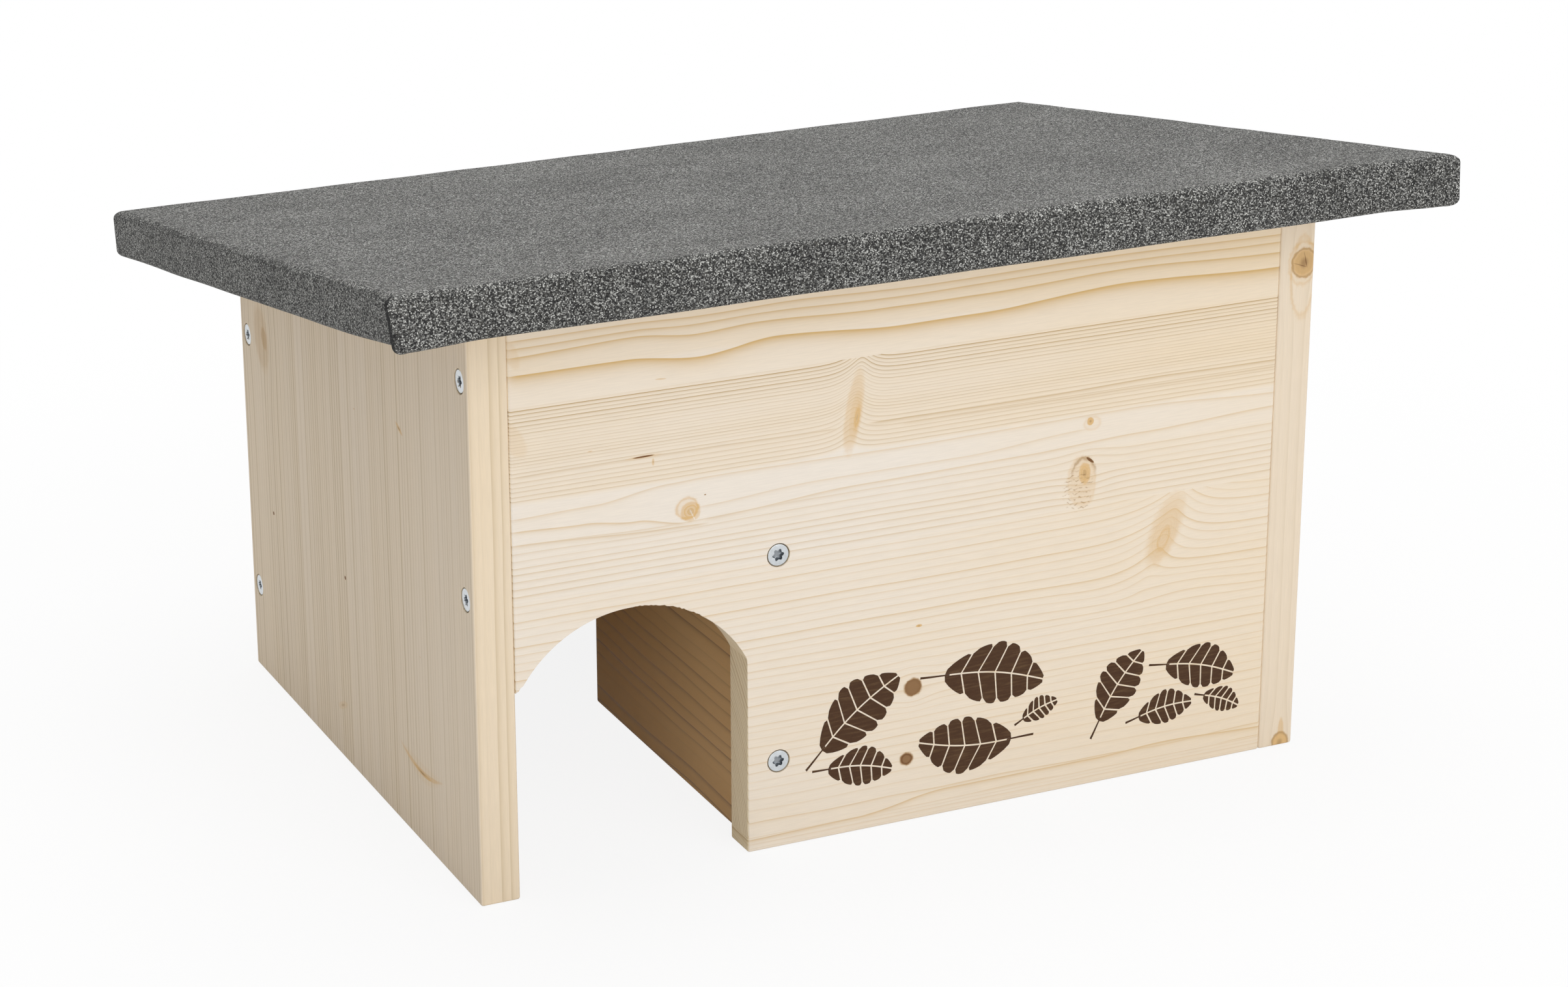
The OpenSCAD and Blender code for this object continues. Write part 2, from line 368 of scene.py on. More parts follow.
class Bend(NamedTuple):
    """A place where the growth lines rise, or part round a knot; lengths in mm."""

    along: float
    across: float
    half_along: float
    half_across: float
    lift: float = 0.0
    push: float = 0.0
    on_edge: bool = False   # measured through the board instead of across it
    tilt = 0.0              # the same for all bends, as is the bow
    bow = 0.0


class Spike(NamedTuple):
    """A long knot whose sides the growth lines climb; lengths in mm and the tilt in degrees."""

    along: float
    across: float
    tilt: float
    reach: float            # how far from its middle the lines start to climb
    lift: float             # how far they climb
    low: float              # where it leaves the surface, across the grain


class Torn(NamedTuple):
    """A patch of torn grain with short wavy cracks; lengths in mm."""

    along: float
    across: float
    half_along: float
    half_across: float
    spacing: float          # from crack to crack
    on_edge = False         # the same for all patches, as are the tilt and the bow
    tilt = 0.0
    bow = 0.0


class Grain(NamedTuple):
    """All that shapes the wood of one board."""

    staves: tuple
    lines: tuple = ()
    knots: tuple = ()
    bends: tuple = ()
    spikes: tuple = ()
    torn: tuple = ()
    edge_warmth: float = 0.7
    end_warmth_and_shade: float = 0.0     # how much warmer and darker the wood gets along the board; in the inner wall it is painted shade deep in the passage
    reach: float = 400.0        # the board's length


class Spruce:
    """Fills a board's material: growth rings in the solid wood, knots, fibres and tone."""

    EDGE_REACH = 14.0       # mm that a knot on a board's edge runs into the board
    BAND_BLEND = 1.5        # mm before and after a band's start over which it takes over
    STAVE_DRIFT = 37.0      # how far apart two staves lie in the noise
    SPIKE_CORE = 3.0        # mm over which lines round off on a spike's ridge
    SPIKE_CLIMB = (-24, 14)     # mm from a spike's low end where the climb starts and is whole
    LINE_END = 5.0          # mm over which a drawn line fades at its ends
    RING_SHIVER = 0.25      # mm that the shiver moves the rings
    LINE_SHIVER = 0.5       # mm that it moves a drawn line
    UNEVEN_RATE = 0.45      # how fast the rings' spacing changes, from ring to ring
    LEVEL_SPREAD = 1.5      # how much more a stave's unevenness changes the lines' strength
    END_WIDER = 0.9         # how much wider the lines are on end grain
    END_STRONGER = 0.7      # how much stronger they are there
    END_BROWN = 0.35        # how much browner they are there
    FIBRE_SHADE = 0.14      # how far apart the lightest and the darkest fibres are
    # Streaks of noise: length along the grain and width, in mm
    WANDER = (105.0, 30.0)  # slow turns of the growth lines
    SHIVER = (40.0, 3.0)    # small turns of the growth lines
    RIPPLE = (2.6, 2.6)     # of the knots' outlines
    TONE = (120.0, 22.0)    # drifts of warmer wood
    FIBRE = (12.0, 0.625)
    # Where a knot's parts end and where they are whole, as shares of its radius
    KNOT_EDGE = (1.15, 0.75)
    SOLID_HEART = (1.05, 0.7)
    SMALL_HEART = (0.5, 0.1)
    CROWN = (-0.1, 0.75)
    RIM_PLACE = 0.95        # a knot's rim, as a share of its radius
    RIM_WIDTH = 0.55        # mm over which the rim fades
    TORN_DARK = 0.38        # how dark the cracks in torn grain are

    def __init__(self, name, wood, colours, axes, corner, grain):
        self.material, self.paint = new_paint(name)
        self.pale, self.warm, self.late = wood
        self.colours = colours
        self.grain = grain
        paint = self.paint
        place = paint.parts(paint.place_mm(corner))
        self.along, self.across, self.depth = [place["xyz".index(axis)] for axis in axes]
        facing = paint.parts(paint.node("ShaderNodeTexCoord", None, None, "Normal"))
        self.end_grain = facing["xyz".index(axes[0])].math("ABSOLUTE").ease(0.6, 0.9)
        self.edge = facing["xyz".index(axes[1])].math("ABSOLUTE").ease(0.6, 0.9)
        self.steps = [self.across > stave.bands[0].start for stave in grain.staves[1:]]
        self.build()

    def far(self, mark):
        """Squared distance from a mark's middle, 1 on its outline, and the height over its middle."""
        side = self.depth if mark.on_edge else self.across
        away = self.along - mark.along
        up = side - mark.across
        if mark.bow:
            away = away - up * up * mark.bow
        if mark.tilt:
            cosine = math.cos(math.radians(mark.tilt))
            sine = math.sin(math.radians(mark.tilt))
            away, up = away * cosine + up * sine, up * cosine - away * sine
        run = away / mark.half_along
        rise = up / mark.half_across
        far = run * run + rise * rise
        if mark.on_edge:
            inward = self.across / self.EDGE_REACH
            far = far + inward * inward
        return far, up

    def streaks(self, size, detail, drift=None):
        """Noise in streaks of a length and a width in mm; a drift takes each stave to another place in it."""
        long, wide = size
        along = self.along / long
        if drift is not None:
            along = along + drift
        return self.paint.noise(self.paint.join(along, self.across / wide, self.depth / wide), detail)

    def by_stave(self, values):
        """A number that changes from stave to stave."""
        total = values[0]
        for step, before, after in zip(self.steps, values, values[1:]):
            total = total + step * (after - before)
        return total

    def in_stave(self, marks, number):
        """The marks whose middles lie in a stave."""
        starts = [stave.bands[0].start for stave in self.grain.staves] + [1e4]
        low = -1e4 if number == 0 else starts[number]
        return [mark for mark in marks if low <= mark.across < starts[number + 1]]

    def lifts(self, number):
        """How far knots lift a stave's growth lines."""
        lift = 0.0
        for bend in self.in_stave([bend for bend in self.grain.bends if not bend.on_edge], number):
            far, up = self.far(bend)
            lift = lift + far.fade() * (up * bend.push + bend.lift)
        for spike in self.in_stave(self.grain.spikes, number):
            turn = math.radians(spike.tilt)
            up = self.across - spike.across
            aside = (self.along - spike.along) * math.cos(turn) + up * math.sin(turn)
            near = (aside * aside + self.SPIKE_CORE ** 2) ** 0.5 / spike.reach
            start, whole = [spike.low + place for place in self.SPIKE_CLIMB]
            lift = lift + near.fade() * spike.lift * self.across.ease(start, whole)
        return lift

    def shifts(self):
        """How far knots on a board's edge push the growth lines through the board."""
        shift = 0.0
        for bend in self.grain.bends:
            if bend.on_edge:
                far, up = self.far(bend)
                shift = shift + far.fade() * (up * bend.push + bend.lift)
        return shift

    def stave_rings(self, number, shift, wander, shiver):
        """Ring phase in one stave, and its bands' looks."""
        stave = self.grain.staves[number]
        off_across = self.across - self.lifts(number) - stave.pith[0]
        off_depth = self.depth - shift - stave.pith[1]
        radius = (off_across * off_across + off_depth * off_depth) ** 0.5
        radius = radius + (wander - 0.5) * stave.wave + (shiver - 0.5) * self.RING_SHIVER
        before = stave.bands[0]
        looks = before.looks()
        rate, phase = 0.0, 0.0
        for band in stave.bands:
            start = stave.radius(band.start)
            band_rate = start / (band.start - stave.pith[0]) / band.spacing
            past = radius - start
            if band is not before:
                past = past.at_least(0.0)
                inside = radius.ease(start - self.BAND_BLEND, start + self.BAND_BLEND)
                changes = zip(looks, before.looks(), band.looks())
                looks = [inside * (after - earlier) + look for look, earlier, after in changes]
            phase = past * (band_rate - rate) + phase
            rate = band_rate
            before = band
        if stave.vary:
            uneven = self.paint.noise(self.paint.join(phase * self.UNEVEN_RATE, 5.0 * number, 0.0), 0.0)
            phase = phase + (uneven - 0.5) * stave.vary
        return phase, *looks

    def growth(self):
        """Growth lines, warmth and brownness over the whole board."""
        paint = self.paint
        staves = self.grain.staves
        drift = self.by_stave([self.STAVE_DRIFT * number for number in range(len(staves))])
        wander = self.streaks(self.WANDER, 1.0, drift)
        shiver = self.streaks(self.SHIVER, 1.0, drift)
        shift = self.shifts()
        rings = [self.stave_rings(number, shift, wander, shiver) for number in range(len(staves))]
        phase, strength, warmth, brown, share = [self.by_stave(list(values)) for values in zip(*rings)]
        ring = phase.floor()
        part = phase - ring
        # Each ring darkens towards its end and stops sharply there
        share = share * (self.end_grain * self.END_WIDER + 1.0)
        late = ((1.0 - part) / share).fade() * part.ease(1.0, 0.95)
        vary = self.by_stave([stave.vary for stave in staves])
        level = (paint.chance(ring + drift) - 0.5) * vary * self.LEVEL_SPREAD + 1.0
        line = late * level * strength
        for course in self.grain.lines:
            line = line.at_least(self.drawn_line(course, shiver))
        return line, warmth, brown

    def drawn_line(self, line, shiver):
        """A growth line that follows its own course and fades at both ends."""
        (first, height), (last, _) = line.course[0], line.course[-1]
        height = (shiver - 0.5) * self.LINE_SHIVER + height
        for (start, before), (end, after) in zip(line.course, line.course[1:]):
            height = self.along.ease(start, end) * (after - before) + height
        below = height - self.across
        late = (below.at_least(0.0) / line.width).fade() * below.ease(-0.2, 0.25)
        begun = self.along.ease(first - self.LINE_END, first + self.LINE_END)
        going = self.along.ease(last + self.LINE_END, last - self.LINE_END)
        return late * begun * going * line.strength

    def knot_fields(self):
        """Sums of knot wood and of dark marks over all knots."""
        tan, dark = 0.0, 0.0
        ripple = self.streaks(self.RIPPLE, 2.0) * 0.3 + 0.85
        for knot in self.grain.knots:
            far, up = self.far(knot)
            radius = far ** 0.5 * ripple
            disc = radius.ease(*self.KNOT_EDGE)
            if knot.rings:
                disc = disc * ((radius * knot.rings).math("FRACT") ** 2.0 * 0.45 + 0.6)
            tan = tan + disc * knot.tan
            if knot.rim or knot.ring:
                least = min(knot.half_along, knot.half_across)
                fine = (radius - self.RIM_PLACE) * least / self.RIM_WIDTH
                rim = (fine * fine).fade()
                if knot.crown:
                    rim = rim * (up / knot.half_across).ease(*self.CROWN)
                if knot.ring:
                    tan = tan + rim * knot.ring
                if knot.rim:
                    dark = dark + rim * knot.rim
            if knot.heart:
                middle = self.SOLID_HEART if knot.solid else self.SMALL_HEART
                dark = dark + radius.ease(*middle) * knot.heart
        return tan, dark

    def torn_cracks(self):
        """Short wavy cracks across patches of torn grain."""
        cracks = 0.0
        for patch in self.grain.torn:
            far, _ = self.far(patch)
            curl = self.paint.noise(self.paint.join(self.along / 3.1, self.across / 11.0, 0.0), 1.0)
            broken = self.paint.noise(self.paint.join(self.along / 2.2, self.across / 1.6, 4.0), 1.0)
            # Rows of cracks that curl, end at the patch's outline and are broken into short lengths
            row = (self.across + curl * 4.5) / patch.spacing
            crack = (row - row.floor() - 0.5) * 7.0
            cracks = cracks + (crack * crack).fade() * far.ease(1.1, 0.6) * broken.ease(0.42, 0.62)
        return cracks

    def build(self):
        paint = self.paint
        line, warmth, brown = self.growth()
        line = (line * (self.end_grain * self.END_STRONGER + 1.0)).at_most(1.0)
        tone = self.streaks(self.TONE, 2.0)
        fibre = self.streaks(self.FIBRE, 3.0)
        warmth = warmth + (tone - 0.5) * 0.5 + self.edge * self.grain.edge_warmth
        # The far end gets warmer and darker; in the inner wall this is painted shade deep in the passage
        if self.grain.end_warmth_and_shade:
            far_end = self.along.ease(0.3 * self.grain.reach, self.grain.reach)
            warmth = warmth + far_end * self.grain.end_warmth_and_shade
        wood = paint.mix(warmth.at_least(0.0).at_most(1.0), self.pale, self.warm)
        # End grain takes the lightened end wood: painted light, set for the shaded jamb of the entrance
        wood = paint.mix(self.end_grain, wood, self.colours.end_wood_painted_light)
        brown = (self.end_grain * self.END_BROWN + brown).at_most(1.0)
        late = paint.mix(brown, self.late, self.colours.fine_late)
        wood = paint.mix(line, wood, late)
        if self.grain.knots:
            tan, dark = self.knot_fields()
            wood = paint.mix(tan.at_least(0.0).at_most(1.0), wood, self.colours.knot_wood)
            dark = dark + self.torn_cracks() * self.TORN_DARK
            wood = paint.mix((dark * 1.4).at_most(0.9), wood, self.colours.knot_wood)
            wood = paint.mix(dark.at_most(0.95), wood, self.colours.knot_heart)
        wood = paint.dim(wood, fibre * self.FIBRE_SHADE + 1.0 - self.FIBRE_SHADE / 2)
        normal = paint.bump(fibre * 0.7 - line * 0.5, 0.35, 0.0001)
        roughness = fibre * 0.16 + 0.56 - line * 0.1
        paint.surface({
            "Base Color": wood, "Roughness": roughness, "Normal": normal, "Specular IOR Level": 0.25,
        })


FRONT_GRAIN = Grain(
    staves=(
        Stave((-300, 60), (Band(-20, 1.7, 0.25, 0.25, 0.5),)),
        Stave((-25, 125), (
            Band(7.2, 7.5, 0.5, 0.35, 0.7), Band(60, 4.6, 0.46, 0.28, 0.6), Band(90, 4.1, 0.5, 0.22, 0.6),
        ), 2.0),
        Stave((-200, 150), (
            Band(136.6, 3.2, 0.42, 0.1, 0.6, 0.2), Band(163, 9.0, 0.0, 0.0),
            Band(180.5, 2.1, 0.5, 0.4, 0.42, 0.45), Band(195, 1.4, 0.55, 0.45, 0.3, 0.55),
            Band(212, 1.75, 0.95, 0.45, 0.4, 0.6),
        ), 0.8),
        Stave((-200, 60), (Band(222.9, 13.6, 0.0, 0.35), Band(236.5, 8.6, 0.0, 0.6)), 0.8, 0.0),
    ),
    lines=(
        Line((
            (18, 237), (70, 237), (104, 233.8), (140, 238),
            (200, 234.6), (235, 234.8), (310, 239), (392, 236),
        ), 0.85, 2.6),
        Line((
            (18, 244.8), (75, 246.6), (102, 244), (132, 245.4),
            (190, 243.4), (240, 243.4), (310, 245.6), (392, 243),
        ), 0.75, 1.3),
        Line((
            (18, 248.6), (75, 249.4), (102, 248.4), (135, 249.2), (200, 247.8), (300, 249.2), (392, 247.8),
        ), 0.7, 0.9),
        Line((
            (18, 252), (70, 252.6), (104, 251.8), (150, 252.6), (210, 251.2), (300, 252.4), (392, 251.4),
        ), 0.7, 0.8),
        Line((
            (18, 174.3), (55, 175), (90, 179.3), (110, 179.9), (200, 179.2), (320, 180.2), (392, 177),
        ), 0.42, 0.8),
        Line(((18, 168.8), (50, 167.4), (75, 164.8), (97, 160.8)), 0.65, 0.8),
        Line(((18, 162.6), (90, 159.4), (106, 159)), 0.6, 0.8),
        Line(((103, 167), (160, 170), (230, 170), (292, 173.6)), 0.35, 0.8),
        Line(((105, 161), (180, 165), (260, 166), (320, 168), (392, 170.5)), 0.5, 0.8),
        Line(((18, 192.9), (72, 193.2), (168, 192.4)), 0.6, 0.6),
        Line(((186, 192.6), (260, 192.2), (330, 193.1), (392, 192.4)), 0.8, 0.7),
        Line(((200, 190.2), (300, 189.6), (392, 189.2)), 0.6, 0.6),
        Line(((124, 6), (180, 7), (225, 12.5), (300, 12.5), (340, 14), (392, 12)), 0.7, 0.9),
    ),
    knots=(
        Knot(98.2, 166.9, 5.2, 4.9, tan=0.2, ring=0.5),
        Knot(99.7, 165.2, 4.7, 4.5, tan=0.85, heart=0.12, rings=3),
        Knot(100.4, 163.8, 0.3, 3.0, 25, tan=-0.6),
        Knot(176.8, 198.5, 4.2, 19.5, -8.7, tan=0.4),
        Knot(177.6, 197.0, 2.6, 11.0, -8.7, tan=0.22, rings=3),
        Knot(178.4, 195.8, 1.1, 4.6, -8.7, tan=0.25, heart=0.2, ring=0.25),
        Knot(294.2, 176.9, 1.7, 1.9, tan=1.0, heart=0.35),
        Knot(295.2, 175.8, 4.2, 3.2, tan=0.1, ring=0.22),
        Knot(292.0, 152.8, 3.0, 5.2, 4, tan=0.9, heart=0.25, rings=3),
        Knot(290.6, 149.0, 7.2, 12.0, 6, tan=0.22, ring=0.2),
        Knot(291.4, 150.5, 6.4, 9.9, tan=0.1, rim=0.35, crown=True),
        Knot(294.6, 158.6, 2.6, 0.7, -38, tan=0.5, heart=0.9, solid=True),
        Knot(334.8, 119.0, 8.0, 19.0, -22, tan=0.34),
        Knot(334.5, 117.0, 6.4, 14.0, -22, tan=0.24, rings=6),
        Knot(334.0, 114.5, 2.6, 5.6, -22, tan=0.12, ring=0.25, rings=3),
        Knot(207.1, 64.8, 4.2, 4.0, tan=0.9, heart=0.8, rim=0.6, rings=3, solid=True),
        Knot(204.2, 30.5, 3.0, 2.8, tan=0.9, heart=0.8, rim=0.6, rings=3, solid=True),
        Knot(209.7, 93.8, 1.6, 0.7, tan=1.0, heart=0.4),
        Knot(78.1, 193.2, 5.3, 0.42, 1, tan=0.5, heart=1.0, solid=True),
        Knot(78.1, 193.1, 9.0, 0.8, 1, tan=0.28),
        Knot(82.6, 190.2, 0.6, 1.7, tan=0.6, heart=0.3),
        Knot(106.5, 171.8, 0.5, 0.3, tan=0.3, heart=0.7, solid=True),
        Knot(54.0, 199.2, 1.2, 0.25, tan=0.5, heart=0.3),
        Knot(86.5, 226.4, 2.6, 0.3, -4, tan=0.6, heart=0.1),
        Knot(20.0, 209.0, 4.5, 9.0, 30, tan=0.2),
        Knot(20.0, 246.0, 3.0, 7.0, 20, tan=0.2),
    ),
    bends=(
        Bend(86, 160, 36, 6, lift=-1.6), Bend(294, 154, 12, 10, push=0.5), Bend(207, 65, 9, 8, push=0.7),
        Bend(346, 92, 26, 9, lift=2.4), Bend(310, 92, 30, 12, lift=-2.0),
    ),
    spikes=(
        Spike(335.3, 119.0, -22, 11.0, 15.0, 106), Spike(176.8, 198.5, -8.7, 4.6, 12.0, 188),
    ),
    torn=(Torn(289, 145.0, 8.5, 10.5, 2.1),),
    end_warmth_and_shade=0.35,
)
LEFT_GRAIN = Grain(
    staves=(
        Stave((-100, 80), (Band(-20, 3.4, 0.36, 0.3, 0.9), Band(50, 3.6, 0.55, 0.3, 0.9)), 0.5, 0.9),
        Stave((-160, 190), (Band(84, 3.0, 0.72, 0.35, 0.9), Band(123, 3.4, 0.55, 0.3, 0.9)), 0.5, 0.9),
        Stave((-140, 170), (
            Band(160, 3.2, 0.68, 0.35, 0.9), Band(214, 7.0, 0.75, 0.3, 0.9), Band(224, 2.9, 0.72, 0.4, 0.9),
            Band(266, 3.6, 0.55, 0.5, 0.9),
        ), 0.5, 0.9),
    ),
    knots=(
        Knot(177, 273, 17, 11, 12, tan=0.2, heart=0.1, rings=5, solid=True),
        Knot(178, 269, 6, 4, 14, tan=0.3, heart=0.14, solid=True),
        Knot(191.0, 84.0, 1.2, 4.6, -24, tan=0.7, heart=0.55),
        Knot(90.9, 266.5, 1.0, 1.1, tan=0.8, heart=1.0, solid=True),
        Knot(93.9, 163.9, 1.0, 1.1, tan=0.8, heart=1.0, solid=True),
        Knot(182, 142.5, 0.4, 1.0, tan=0.5, heart=0.5),
        Knot(26.8, 174.5, 1.9, 7.5, 24, tan=0.25, heart=0.25),
        Knot(35.4, 70.0, 4.5, 23.0, bow=0.0072, tan=0.14),
        Knot(35.2, 70.0, 1.4, 25.0, bow=0.0072, tan=0.55, heart=0.15),
        Knot(34.8, 69.0, 0.9, 11.0, bow=0.0072, tan=0.7, heart=0.6),
        Knot(91, 67, 0.3, 0.9, tan=0.4),
    ),
    bends=(Bend(177, 274, 22, 16, push=0.4),),
    edge_warmth=0.45,
)
RIGHT_GRAIN = Grain(
    staves=(
        Stave((-100, 328), (Band(-20, 4.6, 0.16, 0.2), Band(30, 4.2, 0.4, 0.35)), 0.6, face=408),
        Stave((-160, 225), (Band(110, 3.8, 0.5, 0.35),), 0.6, face=408),
        Stave((-140, 240), (Band(212, 4.0, 0.4, 0.35),), 0.6, face=408),
    ),
    knots=(
        Knot(236.2, 402.6, 7.0, 6.4, tan=1.0, heart=0.4, rim=0.35, ring=0.3, rings=5, on_edge=True),
        Knot(236.2, 402.6, 6.2, 5.6, tan=0.3, heart=0.16, solid=True, on_edge=True),
        Knot(236.2, 402.2, 10.5, 8.0, tan=0.1, ring=0.35, on_edge=True),
        Knot(230, 402.2, 19.5, 6.5, tan=0.0, ring=0.4, on_edge=True),
        Knot(237.4, 403.4, 4.5, 0.25, -14, tan=0.2, heart=0.4, solid=True, on_edge=True),
        Knot(235.4, 400.6, 0.25, 4.2, 20, tan=0.2, heart=0.35, solid=True, on_edge=True),
        Knot(1.5, 401.5, 5.0, 4.4, tan=1.0, heart=0.35, rim=0.35, ring=0.3, on_edge=True),
        Knot(7.5, 401.8, 6.5, 1.6, tan=0.6, on_edge=True),
        Knot(150, 118, 9, 7, 10, tan=0.7, heart=0.1, ring=0.2, rings=4),
        Knot(62, 214, 6, 4.5, tan=0.85, heart=0.4, rim=0.3),
        Knot(205, 40, 3, 2, tan=0.8, heart=0.5, rim=0.3),
    ),
    bends=(
        Bend(236, 402, 22, 10, push=0.6, on_edge=True), Bend(1.5, 401.5, 16, 8, push=0.6, on_edge=True),
        Bend(150, 118, 24, 15, push=0.6), Bend(62, 214, 18, 10, push=0.6),
    ),
    edge_warmth=0.15,
)
BACK_GRAIN = Grain(
    staves=(
        Stave((-60, 140), (Band(-20, 5.5, 0.55, 0.35), Band(50, 4.2, 0.6, 0.3)), 2.0, face=304),
        Stave((-120, 160), (Band(92, 3.4, 0.6, 0.25), Band(140, 2.2, 0.6, 0.4, 0.7)), 1.5, face=304),
        Stave((-100, 180), (Band(178, 6.5, 0.8, 0.25, 1.6), Band(196, 3.4, 0.8, 0.35)), 2.5, 0.3, face=304),
    ),
    knots=(
        Knot(120, 60, 8, 6.5, tan=0.8, heart=0.3, ring=0.3, rings=4),
        Knot(255, 132, 4.6, 15, 8, tan=0.45, rings=3),
        Knot(318, 48, 4, 3.6, tan=0.9, heart=0.9, rim=0.9),
        Knot(88, 170, 3, 2.6, tan=0.9, heart=0.4, rim=0.3),
    ),
    bends=(Bend(120, 60, 20, 14, push=0.7), Bend(318, 48, 11, 9, push=0.7), Bend(88, 170, 8, 6, push=0.7)),
    spikes=(Spike(255, 132, 8, 5.5, 12.0, 120),),
)
INNER_GRAIN = Grain(
    staves=(
        Stave((-200, 330), (Band(-20, 8.0, 0.75, 0.15, 1.0),), 5.0, 1.1, face=132),
        Stave((-150, 60), (Band(96, 7.0, 0.75, 0.2, 1.0),), 5.0, 1.1, face=132),
    ),
    knots=(Knot(118, 150, 7, 5, tan=0.7, heart=0.3, rim=0.3),),
    bends=(Bend(118, 150, 18, 11, push=0.7),),
    # Darker towards the back of the inner wall: painted shade deep in the passage
    end_warmth_and_shade=0.7,
    reach=190,
)
ROOF_GRAIN = Grain(
    staves=(
        Stave((-260, -70), (Band(-80, 4.4, 0.6),)), Stave((-160, 90), (Band(65, 3.6, 0.6),)),
        Stave((-80, -70), (Band(170, 4.2, 0.6),)), Stave((20, 90), (Band(270, 3.8, 0.6),)),
    ),
    knots=(
        Knot(-120, 60, 8, 6, tan=0.8, heart=0.3, ring=0.3, rings=4),
        Knot(70, 210, 6, 5, tan=0.9, heart=0.6, rim=0.6),
        Knot(160, 120, 4, 3.6, tan=0.9, heart=0.4, rim=0.3),
    ),
    bends=(
        Bend(-120, 60, 20, 13, push=0.7), Bend(70, 210, 15, 11, push=0.7), Bend(160, 120, 10, 8, push=0.7),
    ),
)
BATTEN_GRAIN = Grain(staves=(Stave((-500, 60), (Band(-400, 3.0, 0.6),)),))


# Meshes

def skin(solid, upper, lower):
    """Adds the faces between two closed loops of points, and lists them in order round the loops."""
    faces = []
    for here in range(len(upper)):
        following = (here + 1) % len(upper)
        faces.append(solid.faces.new((upper[here], upper[following], lower[following], lower[here])))
    return faces


def fill_grid(solid, grid):
    """Adds the faces between the rows of a grid of points."""
    for near, far in zip(grid, grid[1:]):
        for here in range(len(near) - 1):
            solid.faces.new((near[here], near[here + 1], far[here + 1], far[here]))


def prism(first, second):
    """A closed solid between two matching outlines of points."""
    solid = bmesh.new()
    near, far = [[solid.verts.new(point) for point in outline] for outline in (first, second)]
    solid.faces.new(near)
    solid.faces.new(list(reversed(far)))
    skin(solid, far, near)
    bmesh.ops.recalc_face_normals(solid, faces=solid.faces)
    return solid


def ease_edges(solid, radius, keep, segments=3):
    """Rounds the sharp edges that a test picks."""
    sharp = [edge for edge in solid.edges if edge.calc_face_angle() > math.radians(40) and keep(edge)]
    bmesh.ops.bevel(
        solid, geom=sharp, offset=radius, offset_type="OFFSET", segments=segments, profile=0.5,
        affect="EDGES", clamp_overlap=False,
    )


def new_object(name, solid):
    """An object in the scene that holds a solid's mesh."""
    mesh = bpy.data.meshes.new(name)
    solid.to_mesh(mesh)
    solid.free()
    piece = bpy.data.objects.new(name, mesh)
    bpy.context.scene.collection.objects.link(piece)
    return piece


def cut(piece, cutter):
    """Cuts a solid out of a piece and leaves a plain mesh."""
    tool = new_object("cutter", cutter)
    modifier = piece.modifiers.new("cut", "BOOLEAN")
    modifier.object = tool
    modifier.solver = "EXACT"
    bpy.context.view_layer.update()
    evaluated = piece.evaluated_get(bpy.context.evaluated_depsgraph_get())
    mesh = bpy.data.meshes.new_from_object(evaluated)
    piece.modifiers.clear()
    piece.data = mesh
    bpy.data.objects.remove(tool)


def shade(piece, angle):
    """Smooth shading, apart from edges that turn by more than an angle in degrees."""
    piece.data.shade_smooth()
    piece.data.set_sharp_from_angle(angle=math.radians(angle))


def shade_board(piece):
    """Smooth shading of a board's eased edges, with its flat faces kept flat."""
    shade(piece, 40)
    weighted = piece.modifiers.new("weighted", "WEIGHTED_NORMAL")
    weighted.keep_sharp = True


def settle(piece, body, slot, materials, *nodes):
    """Gives a piece its materials and ties it to the frame."""
    for material in materials:
        piece.data.materials.append(material)
    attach(piece, body)
    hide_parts(*nodes)


# Wall screws: the axis along them, which way their heads face and where the board's surface lies
WALL_SCREWS = {
    "left_front_screws": (0, -1, LEFT_LOW.x),
    "left_back_screws": (0, -1, LEFT_LOW.x),
    "right_front_screws": (0, 1, RIGHT_HIGH.x),
    "right_back_screws": (0, 1, RIGHT_HIGH.x),
    "partition_screws": (1, -1, FRONT_LOW.y),
}
RIM_SLACK = 0.02 * MM       # within which points lie on a screw head's rim
SCREWS_APART = 20 * MM      # least distance between two screws
WALL_HEAD_RADIUS = 5 * MM   # the head that the recess's size is given for
LOBES = 6                   # of a recess
RECESS_BANDS = 3            # bands of faces, from the recess's floor on, that lie in it
SCREW_STEPS = 60            # steps round a screw
HOLE_STEPS = 40             # steps round a screw's hole
HOLE_SINK = 1.6 * MM        # depth of a hole's straight mouth
HOLE_SPARE = 1.5 * MM       # how much longer a hole is than its screw


class Head(NamedTuple):
    """A screw's head."""

    middle: Vector
    radius: float


def screw_heads(points, axis, outward, spread):
    """Heads of a CAD node's screws: the outermost points along an axis, split where they lie apart."""
    level = points[:, axis].max() if outward > 0 else points[:, axis].min()
    rims = points[np.abs(points[:, axis] - level) < RIM_SLACK]
    rims = rims[np.argsort(rims[:, spread])]
    breaks = np.nonzero(np.diff(rims[:, spread]) > SCREWS_APART)[0] + 1
    heads = []
    for rim in np.split(rims, breaks):
        middle = (rim.min(0) + rim.max(0)) / 2
        heads.append(Head(Vector(middle), np.linalg.norm(rim - middle, axis=1).max()))
    return heads


def along_axis(axis, length):
    """A vector along one axis."""
    vector = Vector((0, 0, 0))
    vector[axis] = length
    return vector


